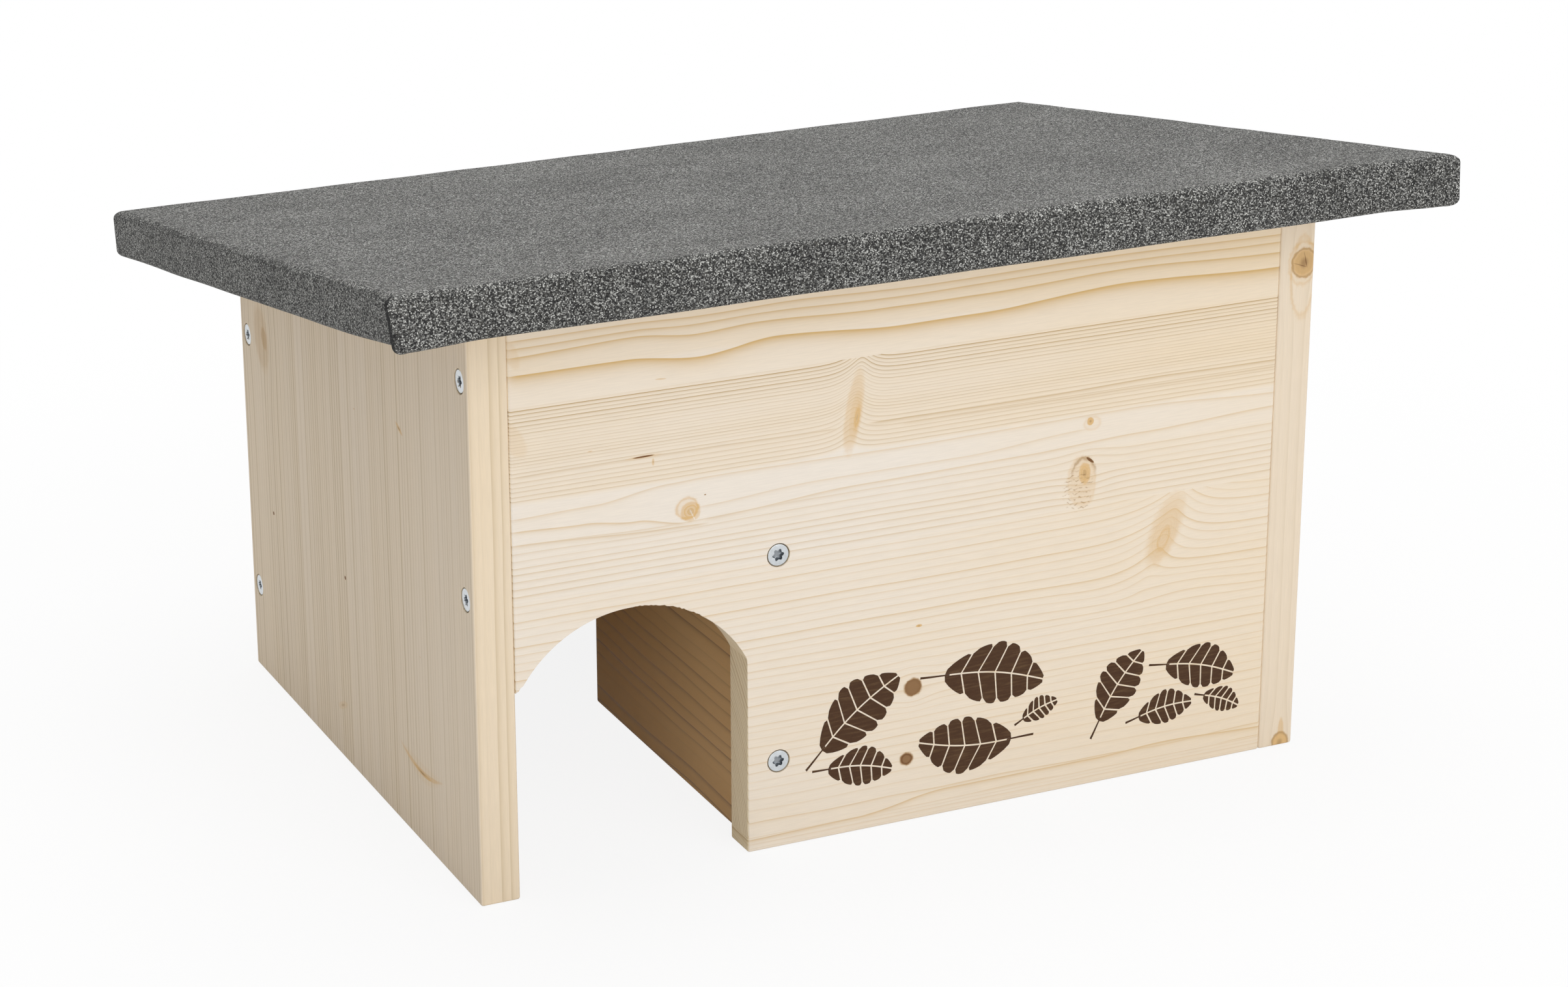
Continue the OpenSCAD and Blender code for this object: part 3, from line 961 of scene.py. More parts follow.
def turned(solid, start, direction, rings, steps, turn=0.0):
    """Adds a closed turned shape and lists its bands of faces, from its first end on.

    Each ring has a mean radius, the share of it that lobes stand out, and a depth along the direction.
    """
    place = Matrix.Translation(start) @ direction.to_track_quat("Z", "Y").to_matrix().to_4x4()
    loops = []
    for mean, lobes, depth in rings:
        loop = []
        for step in range(steps):
            angle = 2 * math.pi * step / steps
            out = mean * (1 + lobes * math.cos(LOBES * angle + turn))
            point = Vector((out * math.cos(angle), out * math.sin(angle), depth))
            loop.append(solid.verts.new(place @ point))
        loops.append(loop)
    bands = [skin(solid, upper, lower) for upper, lower in zip(loops, loops[1:])]
    first = solid.faces.new(list(reversed(loops[0])))
    solid.faces.new(loops[-1])
    return [[first], *bands]


def drill(piece, sizes, *nodes):
    """Cuts the countersunk holes of CAD nodes' wall screws out of a board, from the surface inwards."""
    mouth, hole = sizes.screw_mouth, sizes.screw_hole
    for node in nodes:
        axis, outward, surface = WALL_SCREWS[node]
        points = node_points(node)
        end = np.ptp(points[:, axis]) + HOLE_SPARE
        rings = (
            (mouth + 0.7 * MM, 0.0, -0.5 * MM), (mouth + 0.2 * MM, 0.0, 0.0), (mouth, 0.0, 0.2 * MM),
            (mouth, 0.0, HOLE_SINK), (hole, 0.0, HOLE_SINK + mouth - hole), (hole, 0.0, end),
        )
        for head in screw_heads(points, axis, outward, 2):
            start = head.middle.copy()
            start[axis] = surface
            cutter = bmesh.new()
            turned(cutter, start, along_axis(axis, -outward), rings, HOLE_STEPS)
            bmesh.ops.recalc_face_normals(cutter, faces=cutter.faces)
            cut(piece, cutter)


def add_screw(solid, head, direction, reach, turn, sizes):
    """Adds a countersunk screw, from its recess's floor out over the head and down the shank."""
    radius = head.radius
    recess = sizes.screw_recess * radius / WALL_HEAD_RADIUS
    shank = radius / 2
    # Rings as turned takes them, in order from the recess's floor
    rings = (
        (recess * 0.3, 0.17, 2.3 * MM), (recess * 0.94, 0.17, 2.1 * MM), (recess, 0.17, 0.25 * MM),
        (recess * 1.08, 0.16, 0.0), (radius - 0.5 * MM, 0.0, 0.0), (radius - 0.15 * MM, 0.0, 0.08 * MM),
        (radius, 0.0, 0.3 * MM), (radius - 0.1 * MM, 0.0, 0.6 * MM), (shank, 0.0, 0.6 * MM + radius - shank),
        (shank, 0.0, reach - 4 * MM), (0.3 * MM, 0.0, reach),
    )
    bands = turned(solid, head.middle, direction, rings, SCREW_STEPS, turn)
    # The recess's faces take the darker zinc: painted shade in the recess
    for band in bands[:RECESS_BANDS]:
        for face in band:
            face.material_index = 1


def board(name, low, high, sizes, sloped=False):
    """A board between two corners, with a flat top or with its top cut to the roof's slope."""
    near_top, far_top = (wall_top(low.y), wall_top(high.y)) if sloped else (high.z, high.z)
    corners = [(low.y, low.z), (high.y, low.z), (high.y, far_top), (low.y, near_top)]
    solid = prism([(low.x, y, z) for y, z in corners], [(high.x, y, z) for y, z in corners])
    ease_edges(solid, sizes.arris, lambda edge: True)
    return new_object(name, solid)


# The broken tip of the arch beside the left panel: places from the panel and heights
ARCH_TIP = ((0.0, 95.9 * MM), (1.6 * MM, 96.6 * MM), (2.4 * MM, 98.0 * MM))
ARCH_TIP_END = 3.7 * MM     # where the round head starts
ARCH_STEPS = 120
CHIPPED = (-131 * MM, -100 * MM)    # the stretch of the round head where fibres are torn off
DEEPEST_CHIP = 0.55 * MM


def entrance_outline(sizes):
    """The front panel's outline as places along the front and heights, with the broken tip of the arch."""
    left = FRONT_LOW.x
    right = left + sizes.entrance_width
    centre = (left + right) / 2
    radius = sizes.arch_radius
    foot_angle = math.acos((right - centre) / radius)
    tip_angle = math.acos((left + ARCH_TIP_END - centre) / radius)
    outline = [(FRONT_HIGH.x, 0), (FRONT_HIGH.x, FRONT_HIGH.z), (left, FRONT_HIGH.z)]
    outline += [(left + out, height) for out, height in ARCH_TIP]
    for step in range(ARCH_STEPS + 1):
        angle = tip_angle + (foot_angle - tip_angle) * step / ARCH_STEPS
        outline.append((centre + radius * math.cos(angle), sizes.arch_centre + radius * math.sin(angle)))
    outline.append((right, 0))
    return outline


def front_solid(sizes):
    """The front panel with its entrance; the top follows the slope and fibres are torn off the arch."""
    torn = random.Random(7)
    near, far = [], []
    for x, z in entrance_outline(sizes):
        at_top = z > FRONT_HIGH.z - MM
        far.append((x, FRONT_HIGH.y, wall_top(FRONT_HIGH.y) if at_top else z))
        chip = torn.uniform(0.0, DEEPEST_CHIP) if CHIPPED[0] < x < CHIPPED[1] else 0.0
        near.append((x, FRONT_LOW.y, z + chip))
    solid = prism(near, far)
    ease_edges(solid, sizes.arch_arris, lambda edge: edge.calc_length() < 4 * MM, 2)
    ease_edges(solid, sizes.arris, lambda edge: edge.calc_length() > 6 * MM)
    return solid


class Column(NamedTuple):
    """One upright line of points on the felt's edge."""

    side: str               # a side of the roof, or a corner
    place: float            # along the side, or the share of the side strip that belongs to a corner
    lift: float = 0.0       # how far the flap on the front or back stands out, 0 to 1
    rise: float = 0.0       # how far its lower edge is raised; below 0 it hangs down
    end: int = -1           # number of the step round the flap's cut end


class FeltWrap:
    """The felt round the roof board: a dense closed mesh in the roof's own axes."""

    COLUMN_STEP = 6 * MM
    ZONE = 9 * MM           # length of side strip that belongs to a corner
    STRIP_STEPS = 4
    FLAP_REACH = 34 * MM    # from a corner, where the flap starts to stand out
    FLAP_FROM = 0.3         # share of the top fold after which a flap starts to show
    FLAP_HANG = 1.1 * MM    # how far the front flaps hang below the rest of the front's edge
    CORNER_STEP = 1.3 * MM  # how far a front flap's end hangs down and the side strip beside it rises
    STRIP_RISE = 60 * MM    # from the front, where the side strips start to rise
    SPLIT = 8 * MM          # height above which the top's bumps show and below which the edge waves
    SWELL = 0.5 * MM        # height of the top's slow bumps
    DIMPLE = 0.22 * MM      # height of its small bumps
    WAVE = 0.45 * MM        # height of the lower edge's waves
    CUT_SHOWN = 0.2         # how far a flap has to show for its cut end to be bitumen
    SAME_PLACE = 2e-7       # metres within which two points are one
    FOLD_STEPS = 6          # steps round a fold
    FACE_STEPS = 5          # steps down the upright face
    HEM_STEPS = 4
    # Steps round a flap's cut end: share of the sideways reach, depth behind its face, share of its overlap
    FLAP_END = (
        (0.5, 0.0, 0.0), (1.0, 0.0, 0.4), (1.0, 0.25 * MM, 0.85), (1.0, 0.9 * MM, 1.0),
        (1.0, 2.6 * MM, 1.0), (1.0, 4.4 * MM, 1.0), (1.0, 4.7 * MM, 0.0),
    )
    CUT_STEPS = range(3, 6)     # steps that start a cut face

    def __init__(self, sizes):
        self.sizes = sizes
        self.inset = sizes.felt_corner
        self.low = Vector((FELT_LOW.x + self.inset, FELT_LOW.y + self.inset))
        self.high = Vector((FELT_HIGH.x - self.inset, FELT_HIGH.y - self.inset))
        self.span = self.high - self.low
        self.solid = bmesh.new()

    def profile(self):
        """Rows from the top out and down to the hem: offset from the loop, height, how far a flap shows."""
        top, low = FELT_HIGH.z, FELT_LOW.z
        fold = self.sizes.felt_top_edge
        foot = self.sizes.felt_foot_edge
        rows = [(0.0, top, 0.0)]
        turns = [math.pi / 2 * step / self.FOLD_STEPS for step in range(self.FOLD_STEPS + 1)]
        for turn in turns:
            out = self.inset - fold + fold * math.sin(turn)
            show = max(0.0, math.sin(turn) - self.FLAP_FROM) / (1 - self.FLAP_FROM)
            rows.append((out, top - fold + fold * math.cos(turn), show))
        for step in range(1, self.FACE_STEPS):
            share = step / self.FACE_STEPS
            rows.append((self.inset, (top - fold) * (1 - share) + (low + foot) * share, 1.0))
        for turn in turns:
            out = self.inset - foot + foot * math.cos(turn)
            rows.append((out, low + foot - foot * math.sin(turn), math.cos(turn)))
        for step in range(self.HEM_STEPS + 1):
            rows.append((-self.sizes.felt_hem * step / self.HEM_STEPS, low, 0.0))
        return rows

    def inner_rows(self):
        """Rows along the roof board, from the hem's cut edge to the board's top."""
        edge = self.inset - (BOARD_LOW.x - FELT_LOW.x)
        return [(-self.sizes.felt_hem, BOARD_LOW.z), (edge, BOARD_LOW.z), (edge, BOARD_HIGH.z)]

    def spread(self, start, end):
        """Even places from start to end."""
        count = round((end - start) / self.COLUMN_STEP)
        return [start + (end - start) * step / count for step in range(count + 1)]

    @staticmethod
    def near_corner(distance, reach):
        """1 at a corner, smoothly down to 0 at a distance."""
        share = min(1.0, distance / reach)
        return 1.0 - share * share * (3 - 2 * share)

    def flap_columns(self, side):
        columns = []
        for place in self.spread(0.0, self.span.x):
            near = self.near_corner(min(place, self.span.x - place), self.FLAP_REACH)
            hang = self.FLAP_HANG if side == "front" else 0.0
            columns.append(Column(side, place, near, -hang * near))
        return columns

    def strip_columns(self, side):
        columns = []
        for place in self.spread(self.ZONE, self.span.y - self.ZONE):
            rise = self.CORNER_STEP * self.near_corner(place, self.STRIP_RISE)
            columns.append(Column(side, place, 0.0, rise))
        return columns

    def corner_columns(self, corner):
        """Columns from the flap round its cut end to the side strip."""
        rise = self.CORNER_STEP if corner.startswith("front") else 0.0
        last = len(self.FLAP_END) - 1
        columns = [Column(corner, 0.0, 1.0, -rise, end) for end in range(last)]
        columns.append(Column(corner, 0.0, 1.0, rise, last))
        for step in range(1, self.STRIP_STEPS):
            columns.append(Column(corner, step / self.STRIP_STEPS, 1.0, rise))
        return columns

    def columns(self):
        """All columns round the roof, from the front's left end."""
        return [
            *self.flap_columns("front"), *self.corner_columns("front_right"),
            *self.strip_columns("right"), *reversed(self.corner_columns("back_right")),
            *reversed(self.flap_columns("back")), *self.corner_columns("back_left"),
            *reversed(self.strip_columns("left")), *reversed(self.corner_columns("front_left")),
        ]

    def point(self, column, out, height, show, outer=True):
        """A point of the wrap in the roof's axes."""
        shrink = Vector((min(out, 0.0), min(out, 0.0)))
        low, high = self.low - shrink, self.high + shrink
        reach = max(out, 0.0)
        stand = column.lift * show * self.sizes.felt_flap
        if column.side in ("front", "back"):
            x = low.x + (high.x - low.x) * column.place / self.span.x
            y = low.y - reach - stand if column.side == "front" else high.y + reach + stand
        elif column.side in ("left", "right"):
            x = low.x - reach if column.side == "left" else high.x + reach
            y = low.y + (high.y - low.y) * column.place / self.span.y
        else:
            overlap = show * self.sizes.felt_overlap * self.taper(height)
            x, y = self.corner_point(column, low, high, reach, stand, overlap)
        if outer:
            height += self.unevenness(x, y, height, column.rise)
        return Vector((x, y, height))

    @staticmethod
    def taper(height):
        """Share of a flap's overlap at a height: a quarter at the foot, all of it at the top."""
        level = max(0.0, min(1.0, (height - FELT_LOW.z) / (FELT_HIGH.z - FELT_LOW.z)))
        return 0.25 + 0.75 * level

    def corner_point(self, column, low, high, reach, stand, overlap):
        """Place of a corner's column: round the flap's cut end, or on the side strip behind it."""
        face, hand = column.side.split("_")
        corner_x, away_x = (low.x, -1) if hand == "left" else (high.x, 1)
        corner_y, away_y = (low.y, -1) if face == "front" else (high.y, 1)
        share, behind, over = self.FLAP_END[column.end]
        out_x = reach * share + (overlap * over if face == "front" else 0.0)
        out_y = reach + stand - behind * min(1.0, reach / self.inset)
        if column.end < 0:
            zone = self.ZONE * (high.y - low.y) / self.span.y
            out_x = reach
            out_y += (-zone - out_y) * column.place
        return corner_x + away_x * out_x, corner_y + away_y * out_y

    def unevenness(self, x, y, height, rise):
        """Slow bumps of the top and a slightly wavy lower edge."""
        upper = max(0.0, min(1.0, (height - self.SPLIT) / (10 * MM)))
        lower = max(0.0, min(1.0, (self.SPLIT - height) / (9 * MM)))
        swell = noise.noise(Vector((x * 11, y * 11, 3.0))) * self.SWELL
        swell += noise.noise(Vector((x * 34, y * 34, 8.0))) * self.DIMPLE
        wave = noise.noise(Vector((x * 17 + 4, y * 17, 5.0))) * self.WAVE
        return upper * swell + lower * (wave + rise)

    def build(self):
        rows = self.profile()
        columns = self.columns()
        rings = []
        for out, height, show in rows:
            rings.append([self.solid.verts.new(self.point(column, out, height, show)) for column in columns])
        for out, height in self.inner_rows():
            points = [self.point(column, out, height, 0.0, False) for column in columns]
            rings.append([self.solid.verts.new(point) for point in points])
        last = len(rows) - 1
        for level, (upper, lower) in enumerate(zip(rings, rings[1:])):
            _, _, show = rows[min(level, last)]
            for here, face in enumerate(skin(self.solid, upper, lower)):
                column, following = columns[here], columns[(here + 1) % len(columns)]
                folded = min(column.end, following.end) in self.CUT_STEPS and "front" in column.side
                flap_cut = folded and show > self.CUT_SHOWN
                hem_cut = level == last
                face.material_index = 1 if flap_cut or hem_cut else 0
        self.solid.faces.new(rings[-1])
        self.close_top(rings[0], columns)
        bmesh.ops.remove_doubles(self.solid, verts=self.solid.verts, dist=self.SAME_PLACE)
        bmesh.ops.recalc_face_normals(self.solid, faces=self.solid.faces)
        return self.solid

    def close_top(self, ring, columns):
        """Fills the top with a grid that meets the first ring."""
        places = [(round(vertex.co.x, 6), round(vertex.co.y, 6)) for vertex in ring]
        by_place = dict(zip(places, ring))
        acrosses = sorted({x for (x, _), column in zip(places, columns) if column.side == "front"})
        depths = sorted({y for (_, y), column in zip(places, columns) if "left" in column.side})
        grid = []
        for y in depths:
            row = []
            for x in acrosses:
                height = FELT_HIGH.z + self.unevenness(x, y, FELT_HIGH.z, 0.0)
                row.append(by_place.get((x, y)) or self.solid.verts.new((x, y, height)))
            grid.append(row)
        fill_grid(self.solid, grid)


# Finishes

GRANULES_PER_MM = 1.75
# How light the granules are, from the darkest to the lightest
GRANULE_GREYS = ((0.0, 0.0), (0.22, 0.035), (0.45, 0.15), (0.7, 0.35), (0.88, 0.62), (1.0, 0.9))


def felt_material(colours):
    """Bitumen felt under mineral granules of mixed greys."""
    material, paint = new_paint("mineral_felt")
    place = paint.place_mm((0, 0, 0))
    cells = {"Vector": place, "Scale": GRANULES_PER_MM}
    grains = paint.node("ShaderNodeTexVoronoi", None, cells, "Color")
    apart = paint.node("ShaderNodeTexVoronoi", None, cells, "Distance")
    level, hue, _ = paint.parts(grains)
    cloud = paint.noise(place, 3.0, 0.02)
    fine = paint.noise(place, 2.0, 1.9)
    _, _, facing = paint.parts(paint.node("ShaderNodeTexCoord", None, None, "Normal"))
    upright = facing.ease(0.9, 0.5)
    # A level for each granule, with clouds over the sheet and grit in the granules; upright felt is darker
    # than the top: painted shade on the sides, and at the front also the stretched felt of the fold
    shade = (level + (cloud - 0.5) * 0.25 + (fine - 0.5) * 0.3 + 0.025 - upright * 0.065).at_least(0.0)
    ramp = paint.node("ShaderNodeValToRGB", {"stops": GRANULE_GREYS}, {0: shade})
    bright, _, _ = paint.parts(ramp)
    gap = apart.ease(0.75, 0.4)
    stone = paint.mix(bright * gap, colours.granule_dark, colours.granule_light)
    stone = paint.mix(hue.ease(0.7, 1.0) * 0.4, stone, paint.mix(0.5, stone, colours.granule_tint))
    normal = paint.bump(1 - apart, 0.7, 0.0005)
    paint.surface({
        "Base Color": stone, "Roughness": hue * 0.25 + 0.68, "Normal": normal, "Specular IOR Level": 0.3,
    })
    return material


def bitumen_material(colours):
    """The felt's cut edge: black bitumen with a few crumbs of mineral."""
    material, paint = new_paint("bitumen_edge")
    place = paint.place_mm((0, 0, 0))
    crumbs = paint.noise(place, 3.0, 1.4)
    black = paint.mix(crumbs.ease(0.58, 0.75) * 0.25, colours.granule_dark, colours.granule_light)
    normal = paint.bump(crumbs, 0.5, 0.0004)
    paint.surface({
        "Base Color": black, "Roughness": crumbs * 0.3 + 0.6, "Normal": normal, "Specular IOR Level": 0.15,
    })
    return material


def zinc_material(name, zinc):
    """Bright zinc plating with a faint cloud and fine turning marks."""
    material, paint = new_paint(name)
    place = paint.place_mm((0, 0, 0))
    cloud = paint.noise(place, 3.0, 0.7)
    marks = paint.noise(place, 2.0, 5.0)
    plated = paint.dim(zinc, cloud * 0.3 + 0.85)
    normal = paint.bump(marks, 0.25, 0.00004)
    paint.surface({
        "Base Color": plated, "Metallic": 1.0, "Roughness": cloud * 0.22 + 0.18, "Normal": normal,
    })
    return material


def print_material(colours):
    """Burnt-brown print that lets a little of the grain through."""
    material, paint = new_paint("burnt_print")
    x, y, z = paint.parts(paint.place_mm(HOUSE_CORNER))
    grain = paint.noise(paint.join(x / 14.0, y, z * 0.9), 3.0)
    speck = paint.noise(paint.join(x, y, z), 2.0, 1.1)
    brown = paint.mix(grain.ease(0.45, 0.8) * 0.08, colours.print_brown, colours.knot_wood)
    brown = paint.dim(brown, speck * 0.5 + 0.75)
    normal = paint.bump(grain, 0.3, 0.0001)
    paint.surface({
        "Base Color": brown, "Roughness": speck * 0.2 + 0.6, "Normal": normal, "Specular IOR Level": 0.2,
    })
    return material


def house_settings(context):
    scene = context.scene
    return scene.house_sizes, scene.house_colours, scene.house_light


def outer_wood(colours):
    """Pale wood, warm wood and growth lines of the boards with orange lines."""
    return colours.early_wood, colours.warm_wood, colours.late_wood


# Operators, one for each group of pieces

class HOUSE_OT_side_panels(bpy.types.Operator):
    """Builds the two side panels with upright grain and countersunk screw holes."""

    bl_idname = "house.side_panels"
    bl_label = "Side panels"

    def execute(self, context):
        sizes, colours, _ = house_settings(context)
        side_wood = (colours.side_wood, colours.warm_wood, colours.side_late)
        for side, low, high, grain in (
            ("left", LEFT_LOW, LEFT_HIGH, LEFT_GRAIN), ("right", RIGHT_LOW, RIGHT_HIGH, RIGHT_GRAIN),
        ):
            panel = board(f"{side}_side", low, high, sizes, sloped=True)
            drill(panel, sizes, f"{side}_front_screws", f"{side}_back_screws")
            wood = Spruce(f"spruce_{side}", side_wood, colours, "zyx", HOUSE_CORNER, grain)
            shade_board(panel)
            settle(panel, "house", "side_wood", [wood.material], f"{side}_side_panel")
        return {"FINISHED"}


class HOUSE_OT_front_panel(bpy.types.Operator):
    """Builds the front panel with its arched entrance."""

    bl_idname = "house.front_panel"
    bl_label = "Front panel"

    def execute(self, context):
        sizes, colours, _ = house_settings(context)
        front = new_object("front", front_solid(sizes))
        drill(front, sizes, "partition_screws", "left_front_screws", "right_front_screws")
        wood = Spruce("spruce_front", outer_wood(colours), colours, "xzy", HOUSE_CORNER, FRONT_GRAIN)
        shade_board(front)
        settle(front, "house", "front_wood", [wood.material], "front_panel")
        return {"FINISHED"}


class HOUSE_OT_back_panel(bpy.types.Operator):
    """Builds the back panel."""

    bl_idname = "house.back_panel"
    bl_label = "Back panel"

    def execute(self, context):
        sizes, colours, _ = house_settings(context)
        back = board("back", BACK_LOW, BACK_HIGH, sizes, sloped=True)
        drill(back, sizes, "left_back_screws", "right_back_screws")
        wood = Spruce("spruce_back", outer_wood(colours), colours, "xzy", HOUSE_CORNER, BACK_GRAIN)
        shade_board(back)
        settle(back, "house", "front_wood", [wood.material], "back_panel")
        return {"FINISHED"}


class HOUSE_OT_partition(bpy.types.Operator):
    """Builds the short inner wall beside the entrance."""

    bl_idname = "house.partition"
    bl_label = "Inner wall"

    def execute(self, context):
        sizes, colours, _ = house_settings(context)
        inner = board("inner_wall", INNER_LOW, INNER_HIGH, sizes)
        drill(inner, sizes, "partition_screws")
        # The inner wall's browner, darker colours: painted shade for the inside of the house
        inner_wood = (colours.inner_wood, colours.inner_warm_painted_shade, colours.inner_late_painted_shade)
        wood = Spruce("spruce_inner", inner_wood, colours, "yzx", HOUSE_CORNER, INNER_GRAIN)
        shade_board(inner)
        settle(inner, "house", "inner_wood", [wood.material], "partition_panel")
        return {"FINISHED"}


class HOUSE_OT_roof_wood(bpy.types.Operator):
    """Builds the roof board and its two battens in the roof's own axes."""

    bl_idname = "house.roof_wood"
    bl_label = "Roof board and battens"

    def execute(self, context):
        sizes, colours, _ = house_settings(context)
        board_wood = Spruce("spruce_roof", outer_wood(colours), colours, "xyz", (0, 0, 0), ROOF_GRAIN)
        batten_wood = Spruce("spruce_batten", outer_wood(colours), colours, "yxz", (0, 0, 0), BATTEN_GRAIN)
        for name, node, wood in (
            ("roof_plank", "roof_board", board_wood),
            ("batten_left", "left_batten", batten_wood),
            ("batten_right", "right_batten", batten_wood),
        ):
            plank = board(name, *roof_box(node), sizes)
            plank.matrix_world = ROOF_AXES
            shade_board(plank)
            settle(plank, "roof", "roof_wood", [wood.material], node)
        return {"FINISHED"}


class HOUSE_OT_roofing_felt(bpy.types.Operator):
    """Wraps the roof board in mineral felt with folded corners."""

    bl_idname = "house.roofing_felt"
    bl_label = "Roofing felt"

    def execute(self, context):
        sizes, colours, _ = house_settings(context)
        felt = new_object("felt_cover", FeltWrap(sizes).build())
        felt.matrix_world = ROOF_AXES
        shade(felt, 50)
        materials = [felt_material(colours), bitumen_material(colours)]
        settle(felt, "roof", "mineral_felt", materials, "roofing_felt")
        return {"FINISHED"}


class HOUSE_OT_fixings(bpy.types.Operator):
    """Builds the screws with six-lobe heads and plates the frame's staples with zinc."""

    bl_idname = "house.fixings"
    bl_label = "Screws and staples"

    ROOF_SCREWS = ("left_batten_screws", "right_batten_screws")

    def execute(self, context):
        sizes, colours, _ = house_settings(context)
        zinc = zinc_material("bright_zinc", colours.zinc)
        # Darker zinc as painted shade in the recesses
        recess = zinc_material("recess_zinc", colours.recess)
        for node, (axis, outward, _) in WALL_SCREWS.items():
            screws = self.screws(node, node_points(node), axis, outward, 2, sizes)
            settle(screws, "house", "zinc_steel", [zinc, recess], node)
        for node in self.ROOF_SCREWS:
            screws = self.screws(node, node_points(node, ROOF_AXES), 2, -1, 1, sizes)
            screws.matrix_world = ROOF_AXES
            settle(screws, "roof", "zinc_steel", [zinc, recess], node)
        for name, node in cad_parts.items():
            if name.endswith("staples"):
                node.data.materials.clear()
                node.data.materials.append(zinc)
        return {"FINISHED"}

    @staticmethod
    def screws(node, points, axis, outward, spread, sizes):
        """All screws of a CAD node as one object, each with its lobes turned by another angle."""
        reach = np.ptp(points[:, axis])
        turns = random.Random(node)
        solid = bmesh.new()
        for head in screw_heads(points, axis, outward, spread):
            turn = turns.uniform(0, 2 * math.pi / LOBES)
            add_screw(solid, head, along_axis(axis, -outward), reach, turn, sizes)
        bmesh.ops.recalc_face_normals(solid, faces=solid.faces)
        screws = new_object(node.replace("_screws", "_screw_set"), solid)
        shade(screws, 35)
        return screws


class Leaf(NamedTuple):
    """A printed leaf: its middle on the front and its length in mm, and its tip's direction in degrees."""

    x: float
    z: float
    long: float
    turn: float


LEAVES = (
    Leaf(181, 57, 50, 38), Leaf(248, 62, 54, -12), Leaf(181, 30, 34, -10), Leaf(234, 34, 50, 172),
    Leaf(272, 42, 20, 20), Leaf(314, 46, 40, 55), Leaf(356, 47, 40, -16), Leaf(338, 30, 30, 6),
    Leaf(368, 29, 22, -24),
)


class LeafPrint:
    """A leaf in separate printed fields, with its midrib and side veins left as bare wood."""

    VEINS = 6
    VEIN_GAP = 0.75         # mm of bare wood at a vein
    SWEEP = 0.16            # how far the veins lean towards the tip, as a share of the length
    BASE = 0.3              # share of the length over which they start to lean
    HALF_WIDTH = 0.27       # of the widest place, as a share of the length
    BOW = 0.05              # of the midrib, as a share of the length
    ROUNDING = 0.16         # how far a field's outer corners are drawn in
    BLANK = 0.02            # share of the length without print at each end
    STALK_FROM, STALK_TO = -0.2, 0.07       # ends of the stalk, as shares of the length
    STALK_WIDE, STALK_THIN = 0.55, 0.3      # half its width at its ends, in mm
    ALONG = 5               # steps along a field
    OUT = 4                 # steps out to a field's edge
    STALK = 8               # steps along the stalk
    DEPTH = 0.2 * MM        # of the print, most of it sunk in the wood

    def __init__(self, solid, leaf, sizes):
        self.solid = solid
        self.leaf = leaf
        self.front = FRONT_LOW.y - sizes.print_relief
        self.turn = math.radians(leaf.turn)

    def half_width(self, share):
        """Half the leaf's width at a share of its length; the powers set its widest place and fullness."""
        return self.HALF_WIDTH * self.leaf.long * math.sin(math.pi * share ** 0.82) ** 0.85

    def midrib(self, share):
        """Sideways bow of the midrib."""
        return self.BOW * self.leaf.long * math.cos(math.pi * (share - 0.5))

    def on_front(self, share, sideways):
        """A point on the front panel: share of the way to the tip, and mm to the left of that."""
        forward = (share - 0.5) * self.leaf.long
        x = self.leaf.x + forward * math.cos(self.turn) - sideways * math.sin(self.turn)
        z = self.leaf.z + forward * math.sin(self.turn) + sideways * math.cos(self.turn)
        return self.solid.verts.new((HOUSE_CORNER.x + x * MM, self.front, z * MM))

    def field(self, start, end, side):
        """One printed field between two veins, with a rounded outer edge."""
        grid = []
        for step in range(self.ALONG + 1):
            local = step / self.ALONG
            share = start + (end - start) * local
            edge = 1.0 - self.ROUNDING * (2 * local - 1) ** 4
            row = []
            for number in range(self.OUT + 1):
                out = edge * number / self.OUT
                sideways = side * (self.VEIN_GAP / 2 + out * self.half_width(share)) + self.midrib(share)
                lean = self.SWEEP * min(1.0, share / self.BASE) * (1 - share)
                row.append(self.on_front(share + lean * out, sideways))
            grid.append(row)
        fill_grid(self.solid, grid)

    def stalk(self):
        """The stalk, a tapering strip that runs into the midrib's foot."""
        grid = []
        for step in range(self.STALK + 1):
            share = self.STALK_FROM + (self.STALK_TO - self.STALK_FROM) * step / self.STALK
            wide = self.STALK_WIDE + (self.STALK_THIN - self.STALK_WIDE) * step / self.STALK
            grid.append([self.on_front(share, side * wide + self.midrib(share)) for side in (-1, 1)])
        fill_grid(self.solid, grid)

    def build(self):
        gap = self.VEIN_GAP / self.leaf.long / 2
        long = (1 - 2 * self.BLANK) / self.VEINS
        for number in range(self.VEINS):
            start = self.BLANK + long * number
            for side in (-1, 1):
                self.field(start + gap, start + long - gap, side)
        self.stalk()


class HOUSE_OT_leaf_print(bpy.types.Operator):
    """Prints fallen leaves low on the front panel."""

    bl_idname = "house.leaf_print"
    bl_label = "Leaf print"

    def execute(self, context):
        sizes, colours, _ = house_settings(context)
        solid = bmesh.new()
        for leaf in LEAVES:
            LeafPrint(solid, leaf, sizes).build()
        shell = bmesh.ops.extrude_face_region(solid, geom=solid.faces[:], use_keep_orig=True)
        inner = [item for item in shell["geom"] if isinstance(item, bmesh.types.BMVert)]
        bmesh.ops.translate(solid, verts=inner, vec=(0, LeafPrint.DEPTH, 0))
        bmesh.ops.recalc_face_normals(solid, faces=solid.faces)
        leaves = new_object("leaf_print", solid)
        leaves.data.materials.append(print_material(colours))
        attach(leaves, "house")
        return {"FINISHED"}


